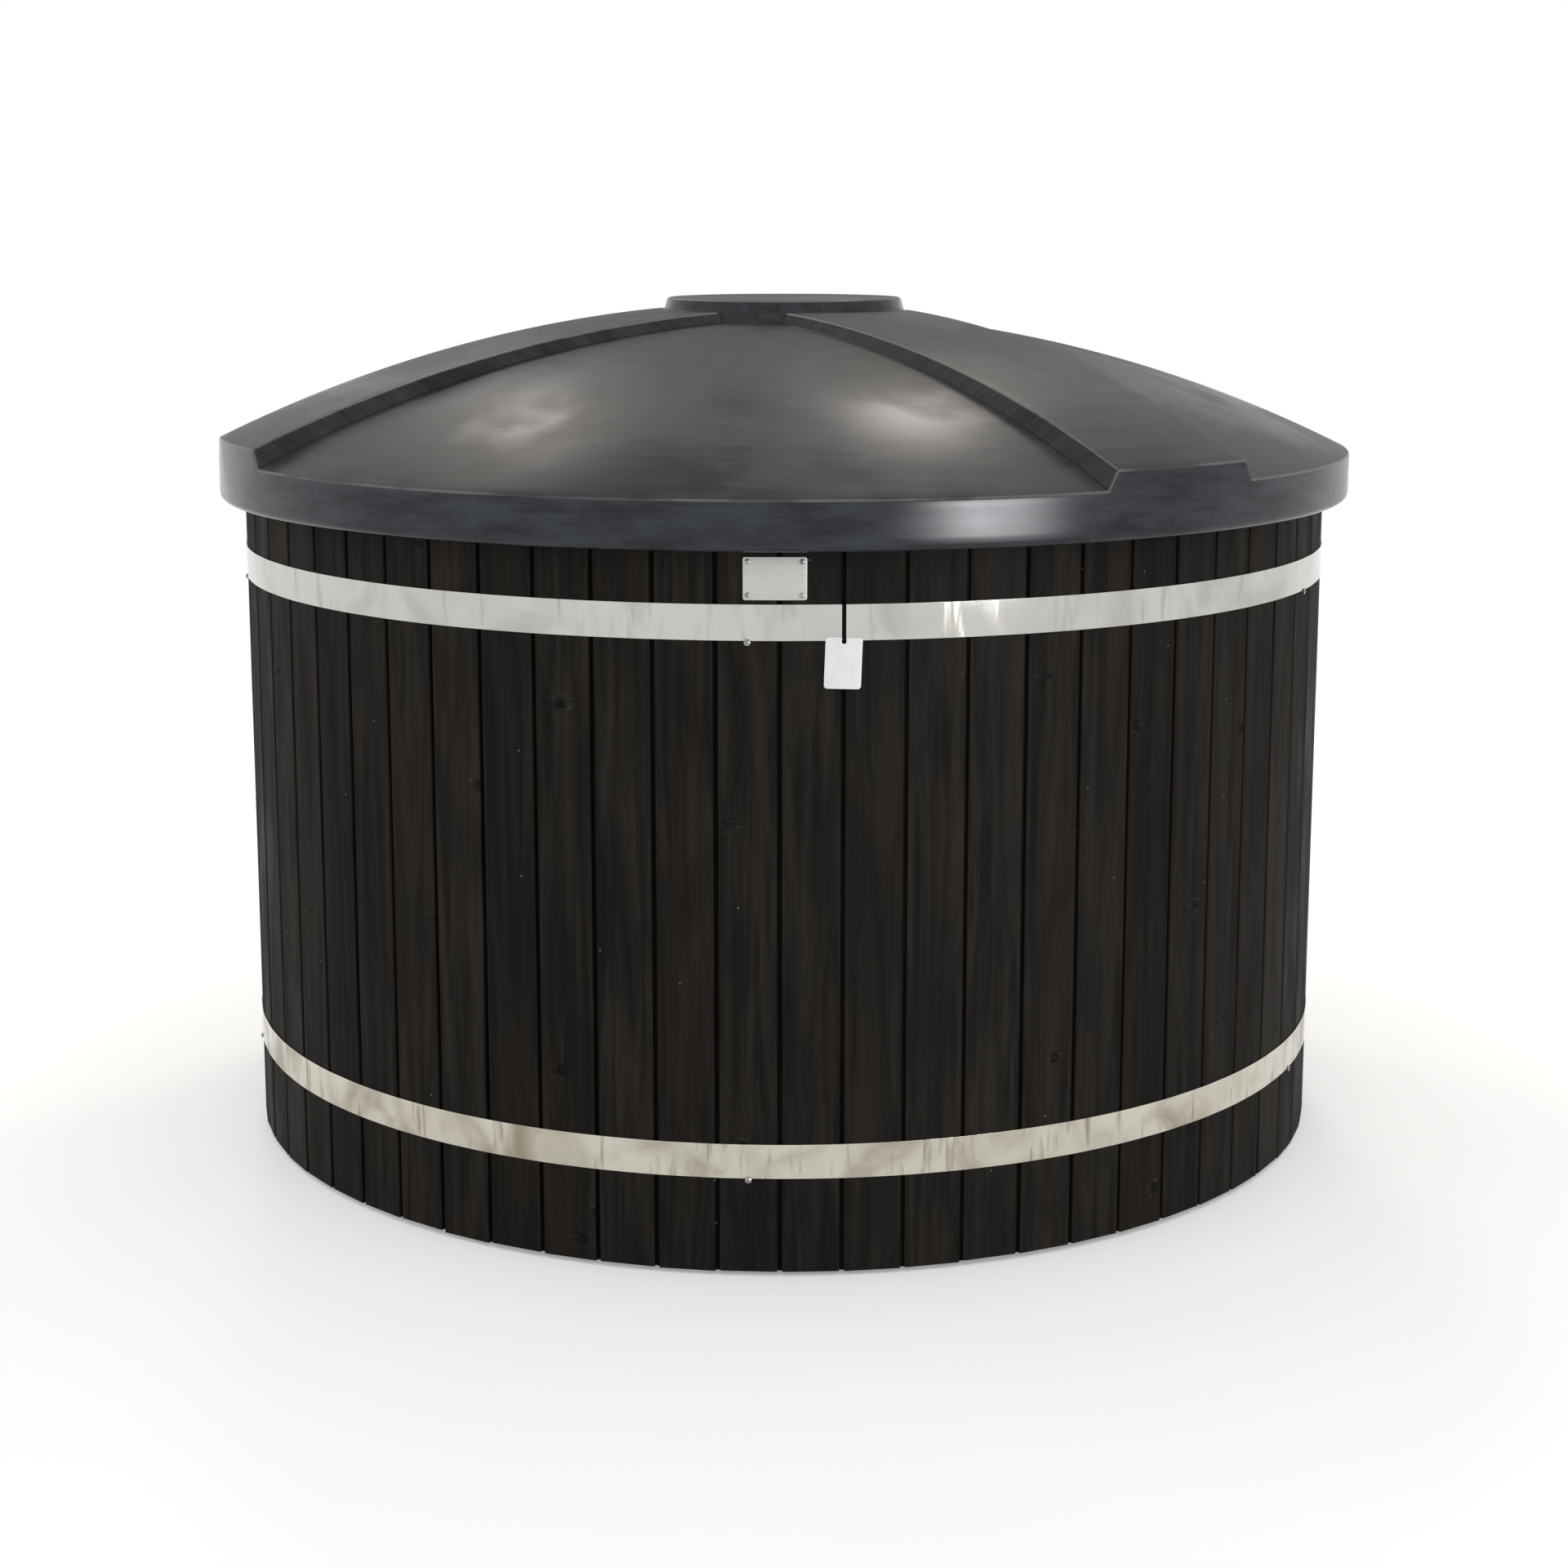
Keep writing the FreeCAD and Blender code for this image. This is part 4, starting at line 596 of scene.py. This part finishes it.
band_finishes = {
    "upper": polished("mirror steel", bright=paint(198, 196, 191), dull=paint(158, 155, 147),
                      clear=0.04, hazed=0.16, drip=0.6),
    "lower": polished("splashed steel", bright=paint(206, 202, 190), dull=paint(150, 143, 126),
                      clear=0.1, hazed=0.3, drip=1.0),
}
for which, bottom in BAND_BOTTOMS.items():
    sags = [chance.uniform(LEAST_SAG_SHARE, 1.0) * BAND_SAG for _ in range(BOARD_COUNT)]
    hoop = band(bottom, sags)
    show(hoop, which + "_hoop", band_finishes[which], "tub", "band_steel", which + "_band")
    dress(screw_steel, which + "_tension_bolt", which + "_tension_nut")


# Band support screws: small pan-head screws of bright steel, driven into the boards just under
# each band to carry it.

dress(screw_steel, "band_support_screws")


# Nameplate: thin anodised sheet bent to the cladding above the upper band, held by four small
# screws. Its face is left bare.

PLATE_WIDTH = 0.0875
PLATE_HEIGHT = 0.059
PLATE_BOTTOM = 0.968
PLATE_THICKNESS = 0.001
PLATE_CORNER = 0.003
PLATE_EDGE = 0.0003
PLATE_COLUMNS = 14
PLATE_FRONT = BAND_OUTER - BAND_THICKNESS + PLATE_THICKNESS
PLATE_AZIMUTH = math.radians(-0.4)

plate = start_with("grid", x_subdivisions=PLATE_COLUMNS, y_subdivisions=1, size=1,
                   rotation=(math.pi / 2, 0, 0), scale=(PLATE_WIDTH, PLATE_HEIGHT, 1),
                   location=(0, -PLATE_FRONT, PLATE_BOTTOM + PLATE_HEIGHT / 2))
pick(plate, "VERT", lambda spot: abs(spot.x) > PLATE_WIDTH / 2 - NEAR)
bpy.ops.mesh.bevel(offset=PLATE_CORNER, segments=5, affect="VERTICES")
leave()
finish_with(plate, "SOLIDIFY", thickness=PLATE_THICKNESS, offset=-1)
finish_with(plate, "BEVEL", width=PLATE_EDGE, segments=2, limit_method="ANGLE")
for vertex in plate.data.vertices:
    vertex.co = round_spot(vertex.co.x / PLATE_FRONT + PLATE_AZIMUTH, -vertex.co.y, vertex.co.z)
bpy.ops.object.shade_smooth_by_angle(angle=math.radians(30))

anodised, tree, surface = new_finish("anodised plate", Metallic=0.35, Specular_IOR_Level=0.4)
place = put(tree, "TexCoord").outputs["Object"]
marks = put(tree, "Group", {"Vector": place, "Smudges": 30.0}, node_tree=smudge)
brushed = between(tree, marks.outputs["Scratch"], paint(196, 196, 193), paint(204, 204, 201))
brushed = between(tree, sums(tree, "MULTIPLY", marks.outputs["Haze"], 0.4), brushed, paint(186, 186, 181))
tree.links.new(brushed, surface.inputs["Base Color"])
gloss = within(tree, marks.outputs["Haze"], 0.0, 1.0, start=0.38, end=0.5)
tree.links.new(gloss, surface.inputs["Roughness"])
bump = put(tree, "Bump", {"Height": marks.outputs["Scratch"], "Distance": 0.00002})
tree.links.new(bump.outputs["Normal"], surface.inputs["Normal"])
show(plate, "bare_plate", anodised, "tub", "plate_metal", "nameplate")
dress(screw_steel, "nameplate_screws")


# Swing tag: a white laminated card with rounded corners and a punched hole, hung on a flat black
# strap that goes round the upper band in a seam. Its face is left bare.

TAG_WIDTH = 0.051
TAG_HEIGHT = 0.071
TAG_THICKNESS = 0.001
TAG_CORNER = 0.0045
TAG_EDGE = 0.0002
TAG_BOW = 0.0012
TAG_COLUMNS = 8
TAG_ROWS = 12
TAG_STANDOFF = 0.0013
TAG_LEAN = math.radians(2.2)
TAG_HOLE_DROP = 0.0055
TAG_HOLE_RADIUS = 0.0034
PUNCH_LENGTH = 0.02
PUNCH_SIDES = 32
TAG_AZIMUTH = BOARD_TURN
STRAP_WIDTH = 0.0055
STRAP_THICKNESS = 0.0006
STRAP_EDGE = 0.00015
STRAP_BEND = 0.0012
STRAP_STANDOFF = 0.0022
STRAP_BACK_PLAY = 0.0009

tag_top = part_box("swing_tag")[1].z
tag_middle = tag_top - TAG_HEIGHT / 2
tag_front = BAND_OUTER + TAG_STANDOFF
tag_pivot = tag_top - TAG_HOLE_DROP
card = start_with("grid", x_subdivisions=TAG_COLUMNS, y_subdivisions=TAG_ROWS, size=1,
                  rotation=(math.pi / 2, 0, 0), scale=(TAG_WIDTH, TAG_HEIGHT, 1),
                  location=(0, -tag_front, tag_middle))
pick(card, "VERT", lambda spot: abs(spot.x) > TAG_WIDTH / 2 - NEAR
     and abs(spot.z - tag_middle) > TAG_HEIGHT / 2 - NEAR)
bpy.ops.mesh.bevel(offset=TAG_CORNER, segments=6, affect="VERTICES")
leave()
finish_with(card, "SOLIDIFY", thickness=TAG_THICKNESS, offset=-1)
punch = start_with("cylinder", vertices=PUNCH_SIDES, radius=TAG_HOLE_RADIUS, depth=PUNCH_LENGTH,
                   location=(0, -tag_front, tag_pivot), rotation=(math.pi / 2, 0, 0))
finish_with(card, "BOOLEAN", object=punch, operation="DIFFERENCE", solver="MANIFOLD")
bpy.data.objects.remove(punch)
finish_with(card, "BEVEL", width=TAG_EDGE, segments=2, limit_method="ANGLE")
for vertex in card.data.vertices:
    down = max(0, (tag_pivot - vertex.co.z) / TAG_HEIGHT)
    vertex.co.y -= TAG_BOW * down ** 2
card.data.transform(Matrix.Rotation(TAG_AZIMUTH, 4, "Z") @ Matrix.Translation((0, 0, tag_pivot))
                    @ Matrix.Rotation(TAG_LEAN, 4, "Y") @ Matrix.Translation((0, 0, -tag_pivot)))
bpy.context.view_layer.objects.active = card
card.select_set(True)
bpy.ops.object.shade_smooth_by_angle(angle=math.radians(30))
white_card = moulded("white card", dark=paint(236, 237, 238), light=paint(242, 243, 244),
                     rough=(0.3, 0.42), clouds=45, pores=1400, relief=0.00002)
show(card, "blank_tag", white_card, "tag", "tag_card", "swing_tag")

loop_low, loop_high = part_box("tag_loop")
strap_middle = (loop_low.z + loop_high.z) / 2
strap_front = BAND_OUTER + STRAP_STANDOFF
strap_back = BAND_OUTER - BAND_THICKNESS - STRAP_BACK_PLAY
strap = start_with("cube", size=1, scale=(STRAP_WIDTH, strap_front - strap_back, loop_high.z - loop_low.z),
                   location=(0, -(strap_front + strap_back) / 2, strap_middle))
pick(strap, "FACE", lambda middle, normal: abs(normal.x) > ALONG)
bpy.ops.mesh.delete(type="FACE")
pick(strap, "EDGE", lambda middle, way: abs(way.x) > ALONG)
bpy.ops.mesh.bevel(offset=STRAP_BEND, segments=6, affect="EDGES")
leave()
finish_with(strap, "SOLIDIFY", thickness=STRAP_THICKNESS, offset=-1)
finish_with(strap, "BEVEL", width=STRAP_EDGE, segments=2,
            limit_method="ANGLE", angle_limit=math.radians(50))
strap.data.transform(Matrix.Rotation(TAG_AZIMUTH, 4, "Z"))
bpy.ops.object.shade_smooth_by_angle(angle=math.radians(40))
strap_nylon = moulded("strap nylon", dark=paint(8, 8, 8), light=paint(16, 16, 16),
                      rough=(0.65, 0.8), clouds=80, pores=2400, relief=0.0001,
                      Specular_IOR_Level=0.05)
show(strap, "tag_strap", strap_nylon, "tub", "loop_strap", "tag_loop")


# Lid underside: a dished polyethylene liner whose lip closes the skirt, with a black rubber ring
# that seals on the basin's rim.

liner_plastic = moulded("liner plastic", dark=paint(49, 51, 54), light=paint(56, 58, 61),
                        rough=(0.42, 0.58), clouds=6, pores=320, relief=0.0003)
dress(liner_plastic, "lid_liner")
dress(black_rubber, "lid_seal")


# Lid: one rotomoulded anthracite shell. Three broad ribs run down from a flat round hub over the
# dome to the rim, and the skirt below the rim is rolled under at its lower edge.

LID_RADIUS = 0.922035
LID_BOTTOM = 1.037
LID_WALL = 0.004
LID_INNER = 0.906
RECESS_APEX = 1.324
RECESS_RIM = 1.108
RIB_APEX = 1.340
RIB_RIM = 1.137
RIB_HALF = 0.128
RIB_AZIMUTHS = [math.radians(azimuth) for azimuth in (-67.1, 38.4, 165.4)]
RIB_SLOPE = 16 / 30
RIB_ROUND = 0.0048
RIB_FOOT = 0.004
HUB_TOP = 1.349
HUB_RADIUS = 0.192
HUB_SLOPE = 7 / 25
HUB_ROUND = 0.006
HUB_FOOT = 0.004
HUB_FLAT_SHARE = 0.95
RIM_ROUND = 0.006
LIP_ROUND = 0.010
DOME_START = 0.212
RIB_COLUMNS = 12
GAP_COLUMNS = 60
WALL_ARC = 5
HUB_RINGS = 7
DOME_RINGS = 46
RIM_RINGS = 8
SKIRT_RINGS = 6
LIP_RINGS = 7
LID_WAVE = 0.0003
BROAD_WAVES = 3.1
SHORT_WAVES = 7.3
WAVE_SHIFT = Vector((5, 2, 8))


def ball(apex, rim):
    """Radius and middle height of the ball that a dome with this apex and rim is cut from."""
    rise = apex - rim
    radius = (LID_RADIUS ** 2 + rise ** 2) / (2 * rise)
    return radius, apex - radius


def wall_profile(depth, slope, top_round, foot_round):
    """A sloped wall's section, rounded at top and foot, as steps out from the edge and down."""
    turn = math.atan2(1, slope)
    top_run = top_round * math.tan(turn / 2)
    foot_run = foot_round * math.tan(turn / 2)
    points = []
    for step in range(WALL_ARC + 1):
        angle = turn * step / WALL_ARC
        points.append((top_round * math.sin(angle) - top_run, top_round * (1 - math.cos(angle))))
    foot = slope * depth + foot_run
    for step in range(WALL_ARC + 1):
        angle = turn * (1 - step / WALL_ARC)
        points.append((foot - foot_round * math.sin(angle), depth - foot_round * (1 - math.cos(angle))))
    return points


def dome_ring(share, apex, rim):
    """Radius and height on a dome's ring, counted from the hub's foot to the start of the rim."""
    radius, middle = ball(apex, rim)
    side = LID_RADIUS - RIM_ROUND
    out = DOME_START + (side * radius / (radius - RIM_ROUND) - DOME_START) * share
    return out, middle + math.sqrt(radius ** 2 - out ** 2)


def rim_ring(share, apex, rim):
    """Radius and height on the rounding between a dome and the skirt."""
    radius, middle = ball(apex, rim)
    side = LID_RADIUS - RIM_ROUND
    centre = middle + math.sqrt((radius - RIM_ROUND) ** 2 - side ** 2)
    start = math.asin(side / (radius - RIM_ROUND))
    angle = start + (math.pi / 2 - start) * share
    return side + RIM_ROUND * math.sin(angle), centre + RIM_ROUND * math.cos(angle)


def ring_pair(ring):
    """Radius and height of a ring on the recessed dome and on the ribs."""
    if ring <= DOME_RINGS:
        share = ring / DOME_RINGS
        return dome_ring(share, RECESS_APEX, RECESS_RIM), dome_ring(share, RIB_APEX, RIB_RIM)
    share = (ring - DOME_RINGS) / RIM_RINGS
    return rim_ring(share, RECESS_APEX, RECESS_RIM), rim_ring(share, RIB_APEX, RIB_RIM)


def lid_ring(ring):
    """Every column's azimuth, radius and height on a ring of dome or rim, once round the lid."""
    (low_radius, low), (high_radius, high) = ring_pair(ring)
    profile = wall_profile(high - low, RIB_SLOPE, RIB_ROUND, RIB_FOOT)
    flat = RIB_HALF + profile[0][0]
    across = [(-RIB_HALF - out, drop) for out, drop in reversed(profile)]
    across += [(flat * (2 * step / RIB_COLUMNS - 1), 0) for step in range(1, RIB_COLUMNS)]
    across += [(RIB_HALF + out, drop) for out, drop in profile]
    strip = []
    for offset, drop in across:
        radius = high_radius + (low_radius - high_radius) * drop / (high - low)
        strip.append((math.asin(offset / radius), radius, high - drop))
    columns = []
    for middle, following in zip(RIB_AZIMUTHS, RIB_AZIMUTHS[1:] + [RIB_AZIMUTHS[0] + 2 * math.pi]):
        columns += [(middle + turn, radius, height) for turn, radius, height in strip]
        start, end = middle + strip[-1][0], following + strip[0][0]
        columns += [(start + (end - start) * step / GAP_COLUMNS, low_radius, low)
                    for step in range(1, GAP_COLUMNS)]
    return columns


def hub_rows(columns):
    """Rows of the hub, from its middle over its rounded edge and down its wall to the first dome ring."""
    rows = [[(azimuth, HUB_RADIUS * HUB_FLAT_SHARE * ring / HUB_RINGS, HUB_TOP)
             for azimuth, radius, height in columns] for ring in range(HUB_RINGS)]
    walls = [wall_profile(HUB_TOP - height, HUB_SLOPE, HUB_ROUND, HUB_FOOT)
             for azimuth, radius, height in columns]
    for step in range(len(walls[0])):
        rows.append([(column[0], HUB_RADIUS + wall[step][0], HUB_TOP - wall[step][1])
                     for column, wall in zip(columns, walls)])
    return rows


def skirt_rows(columns):
    """Rows of the skirt, from the rim's rounding down to the edge that is rolled under."""
    start = LID_BOTTOM + LIP_ROUND
    rows = [[(azimuth, radius, height + (start - height) * ring / SKIRT_RINGS)
             for azimuth, radius, height in columns] for ring in range(1, SKIRT_RINGS + 1)]
    for ring in range(1, LIP_RINGS + 1):
        angle = math.pi / 2 * ring / LIP_RINGS
        side = LID_RADIUS - LIP_ROUND * (1 - math.cos(angle))
        level = start - LIP_ROUND * math.sin(angle)
        rows.append([(azimuth, side, level) for azimuth, radius, height in columns])
    rows.append([(azimuth, LID_INNER, LID_BOTTOM) for azimuth, radius, height in columns])
    return rows


def unevenness(spot):
    """How far the cooled shell has drawn in from its mould at a point."""
    waves = noise.noise(spot * BROAD_WAVES) + 0.5 * noise.noise(spot * SHORT_WAVES + WAVE_SHIFT)
    return LID_WAVE * min(1, max(0, 0.5 + 0.5 * waves))


def swell(steps):
    """Shares that rise from nothing to a whole and fall again over a rounding's steps."""
    return [math.sin(math.pi * step / steps) for step in range(steps + 1)]


rings = [lid_ring(ring) for ring in range(DOME_RINGS + RIM_RINGS + 1)]
rows = hub_rows(rings[0]) + rings + skirt_rows(rings[-1])
# Rounded edges of hub, ribs and rim get positive values, later lightened as wear and a painted highlight;
# the ribs' feet get negative ones, later darkened as painted shade in the crease.
row_wear_and_highlight = [0] * HUB_RINGS + swell(WALL_ARC) + [0] * (WALL_ARC + 1) + [0] * DOME_RINGS + swell(RIM_RINGS)
row_wear_and_highlight += [0] * (len(rows) - len(row_wear_and_highlight))
foot = [-share for share in swell(WALL_ARC)]
rib_top = [0] * (RIB_COLUMNS - 1)
gap = [0] * (GAP_COLUMNS - 1)
column_wear_highlight_shade = foot + swell(WALL_ARC) + rib_top + swell(WALL_ARC) + foot + gap
first_dome_row = HUB_RINGS + 2 * (WALL_ARC + 1)
dome_rows = range(first_dome_row, first_dome_row + len(rings))
first_skirt_row = len(rows) - SKIRT_RINGS - LIP_RINGS
lid = start_with("grid", x_subdivisions=len(rows[0]), y_subdivisions=len(rows) - 1, size=1)
across = len(rows[0]) + 1
worn_lit_and_shaded = []
for index, vertex in enumerate(lid.data.vertices):
    row, column = divmod(index, across)
    on_rib = column_wear_highlight_shade[column % len(column_wear_highlight_shade)] if row in dome_rows else 0
    worn_lit_and_shaded.append(row_wear_and_highlight[row] or on_rib)
    spot = round_spot(*rows[row][column % len(rows[0])])
    outward = Vector((0, 0, 1)) if row < first_skirt_row else Vector((spot.x, spot.y, 0)).normalized()
    vertex.co = spot - outward * unevenness(spot)
lid.data.attributes.new("painted_edge_light_and_wear", "FLOAT", "POINT").data.foreach_set("value", worn_lit_and_shaded)
bpy.ops.object.mode_set(mode="EDIT")
bpy.ops.mesh.select_all(action="SELECT")
bpy.ops.mesh.remove_doubles(threshold=NEAR / 4)
bpy.ops.mesh.normals_make_consistent(inside=False)
leave()
finish_with(lid, "SOLIDIFY", thickness=LID_WALL, offset=-1)
bpy.ops.object.shade_smooth_by_angle(angle=math.radians(50))

STEEP_WALL = 0.2
SLOPING_TOP = 0.7
WIPES_ROUND = 7.0
WIPES_DOWN = 34.0
SMEAR_SHARE = 0.25

anthracite, tree, surface = new_finish("anthracite shell", Specular_IOR_Level=0.1, Coat_Roughness=0.18)
place = put(tree, "TexCoord").outputs["Object"]
parts = put(tree, "SeparateXYZ", {"Vector": place}).outputs
turn = sums(tree, "ARCTAN2", parts["X"], sums(tree, "MULTIPLY", parts["Y"], -1.0))
flat = put(tree, "CombineXYZ", {"X": parts["X"], "Y": parts["Y"]}).outputs["Vector"]
reach = put(tree, "VectorMath", {0: flat}, operation="LENGTH").outputs["Value"]
fall = sums(tree, "SUBTRACT", reach, parts["Z"])
wipes_round = sums(tree, "MULTIPLY", turn, WIPES_ROUND)
wipes_down = sums(tree, "MULTIPLY", fall, WIPES_DOWN)
wiped = put(tree, "CombineXYZ", {"X": wipes_round, "Y": wipes_down}).outputs["Vector"]
wipe = put(tree, "TexNoise", {"Vector": wiped, "Scale": 1.0, "Detail": 8.0, "Roughness": 0.7})
skin = put(tree, "Group", {"Vector": place, "Clouds": 5.0, "Pores": 260.0}, node_tree=mottle)
smear = within(tree, wipe.outputs["Fac"], 0.34, 0.66)
smeared = sums(tree, "MULTIPLY", smear, SMEAR_SHARE)
clouded = sums(tree, "MULTIPLY", skin.outputs["Tone"], 1 - SMEAR_SHARE)
scuff = sums(tree, "ADD", smeared, clouded)
upward = put(tree, "SeparateXYZ", {"Vector": put(tree, "NewGeometry").outputs["Normal"]}).outputs["Z"]
weathered = within(tree, upward, STEEP_WALL, SLOPING_TOP)
clean = between(tree, smear, paint(28, 31, 36), paint(54, 58, 64))
dusty = between(tree, within(tree, scuff, 0.15, 0.85), paint(31, 32, 34), paint(62, 60, 58))
shell = between(tree, weathered, clean, dusty)
# Rounded edges are lightened in patches to a pale grey: partly wear, partly a painted highlight.
wear_and_painted_light = put(tree, "Attribute", attribute_name="painted_edge_light_and_wear").outputs["Fac"]
patchy = within(tree, scuff, 0.2, 0.6, start=0.3, end=0.8)
rubbed_and_highlit = sums(tree, "MULTIPLY", within(tree, wear_and_painted_light, 0.2, 1.0), patchy)
shell = between(tree, rubbed_and_highlit, shell, paint(112, 112, 112))
# Painted shade: the ribs' feet, where wall meets dome, are darkened almost to black.
crease_shade = within(tree, wear_and_painted_light, -1.0, -0.2, start=0.8, end=0.0)
shell = between(tree, crease_shade, shell, paint(15, 15, 16))
tree.links.new(shell, surface.inputs["Base Color"])
gloss = within(tree, skin.outputs["Tone"], 0.1, 0.9, start=0.17, end=0.3)
gloss = sums(tree, "ADD", gloss, sums(tree, "MULTIPLY", weathered, 0.12))
gloss = sums(tree, "ADD", gloss, within(tree, upward, 0.94, 0.99, end=0.2))
tree.links.new(gloss, surface.inputs["Roughness"])
coat = within(tree, upward, STEEP_WALL, SLOPING_TOP, start=0.3, end=0.0)
tree.links.new(coat, surface.inputs["Coat Weight"])
fine = put(tree, "Bump", {"Height": skin.outputs["Height"], "Distance": 0.0001})
bump = put(tree, "Bump", {"Height": scuff, "Distance": 0.00003, "Normal": fine.outputs["Normal"]})
tree.links.new(bump.outputs["Normal"], surface.inputs["Normal"])
show(lid, "lid_dome", anthracite, "lid", "lid_skin", "lid_shell")


# Floor, light and camera: a pale floor under an even white sky, which polished steel mirrors too.
# Two soft lamps over the back and a low one at the front right gloss the lid, and the camera stands
# at the photograph's place.

FLOOR_RADIUS = 4.3
FLOOR_SIDES = 128
FLOOR_GLOW = 0.27
SKY_LEVEL = 0.9
WARM = (1.0, 0.93, 0.86)
COOL = (0.97, 0.98, 1.0)
LAMP_MIDDLE = 2.0
LAMP_CENTRE = (0.5, 0.5, 0.0)
LAMP_EDGE = 0.5
BACK_LAMP_SIZE = (1.05, 1.25)
FRONT_LAMP_SIZE = (3.2, 0.74)
LAMPS = [
    {"place": Vector((-1.37, 2.80, 3.90)), "aim": Vector((-0.357, -0.648, 1.188)),
     "size": BACK_LAMP_SIZE, "power": 37, "tint": WARM, "lights_all": True},
    {"place": Vector((0.69, 2.73, 4.12)), "aim": Vector((0.19, -0.662, 1.206)),
     "size": BACK_LAMP_SIZE, "power": 54, "tint": WARM, "lights_all": True},
    {"place": Vector((2.94, -4.05, 0.75)), "aim": Vector((0.22, -0.89, 0.75)),
     "size": FRONT_LAMP_SIZE, "power": 200, "tint": COOL, "lights_all": False},
]
CAMERA_PLACE = (0.0320, -4.5775, 1.4870)
CAMERA_TILT = math.radians(80.03)
CAMERA_TURN = math.radians(0.4)
CAMERA_LENS = 63.09
CAMERA_SENSOR = 36
CAMERA_SHIFT = -0.0568


def shown(tree):
    """1 for a ray that shows the background to the camera or in a mirror or glass, and otherwise 0."""
    path = put(tree, "LightPath").outputs
    mirrored = sums(tree, "MAXIMUM", path["Is Camera Ray"], path["Is Glossy Ray"])
    return sums(tree, "MAXIMUM", mirrored, path["Is Transmission Ray"])


floor = start_with("circle", vertices=FLOOR_SIDES, radius=FLOOR_RADIUS, fill_type="NGON")
floor.name = "floor"
pale, tree, surface = new_finish("pale floor", Roughness=0.9, Specular_IOR_Level=0.0)
place = put(tree, "TexCoord").outputs["Object"]
cast = put(tree, "TexNoise", {"Vector": place, "Scale": 1.6, "Detail": 4.0}).outputs["Fac"]
colour = between(tree, cast, paint(236, 236, 234), paint(242, 242, 240))
tree.links.new(colour, surface.inputs["Base Color"])
surface.inputs["Emission Color"].default_value = paint(255, 255, 255)
glow = sums(tree, "MULTIPLY", shown(tree), FLOOR_GLOW)
tree.links.new(glow, surface.inputs["Emission Strength"])
floor.data.materials.append(pale)

sky = bpy.data.worlds.new("studio")
bpy.context.scene.world = sky
sky.use_nodes = True
tree = sky.node_tree
tree.nodes.clear()
level = sums(tree, "MAXIMUM", shown(tree), SKY_LEVEL)
white = put(tree, "Background", {"Color": paint(255, 255, 255), "Strength": level}).outputs["Background"]
put(tree, "OutputWorld", {"Surface": white})

for number, setting in enumerate(LAMPS):
    lamp = bpy.data.lights.new("lamp_%d" % number, "AREA")
    lamp.shape = "RECTANGLE"
    lamp.size, lamp.size_y = setting["size"]
    lamp.energy = setting["power"]
    lamp.color = setting["tint"]
    lamp.use_nodes = True
    tree = lamp.node_tree
    across = put(tree, "NewGeometry").outputs["Parametric"]
    out = put(tree, "VectorMath", {0: across, 1: LAMP_CENTRE}, operation="DISTANCE").outputs["Value"]
    soft = within(tree, out, 0.0, LAMP_EDGE, start=LAMP_MIDDLE, end=0.0)
    tree.links.new(soft, tree.nodes["Emission"].inputs["Strength"])
    holder = bpy.data.objects.new("lamp_%d" % number, lamp)
    holder.location = setting["place"]
    holder.rotation_euler = (setting["aim"] - setting["place"]).to_track_quat("-Z", "Y").to_euler()
    holder.visible_camera = False
    holder.visible_diffuse = setting["lights_all"]
    bpy.context.collection.objects.link(holder)

bpy.ops.object.camera_add(location=CAMERA_PLACE, rotation=(CAMERA_TILT, 0, CAMERA_TURN))
camera = bpy.context.object
camera.data.lens = CAMERA_LENS
camera.data.sensor_width = CAMERA_SENSOR
camera.data.shift_y = CAMERA_SHIFT
bpy.context.scene.camera = camera
bpy.context.scene.view_settings.view_transform = "Standard"
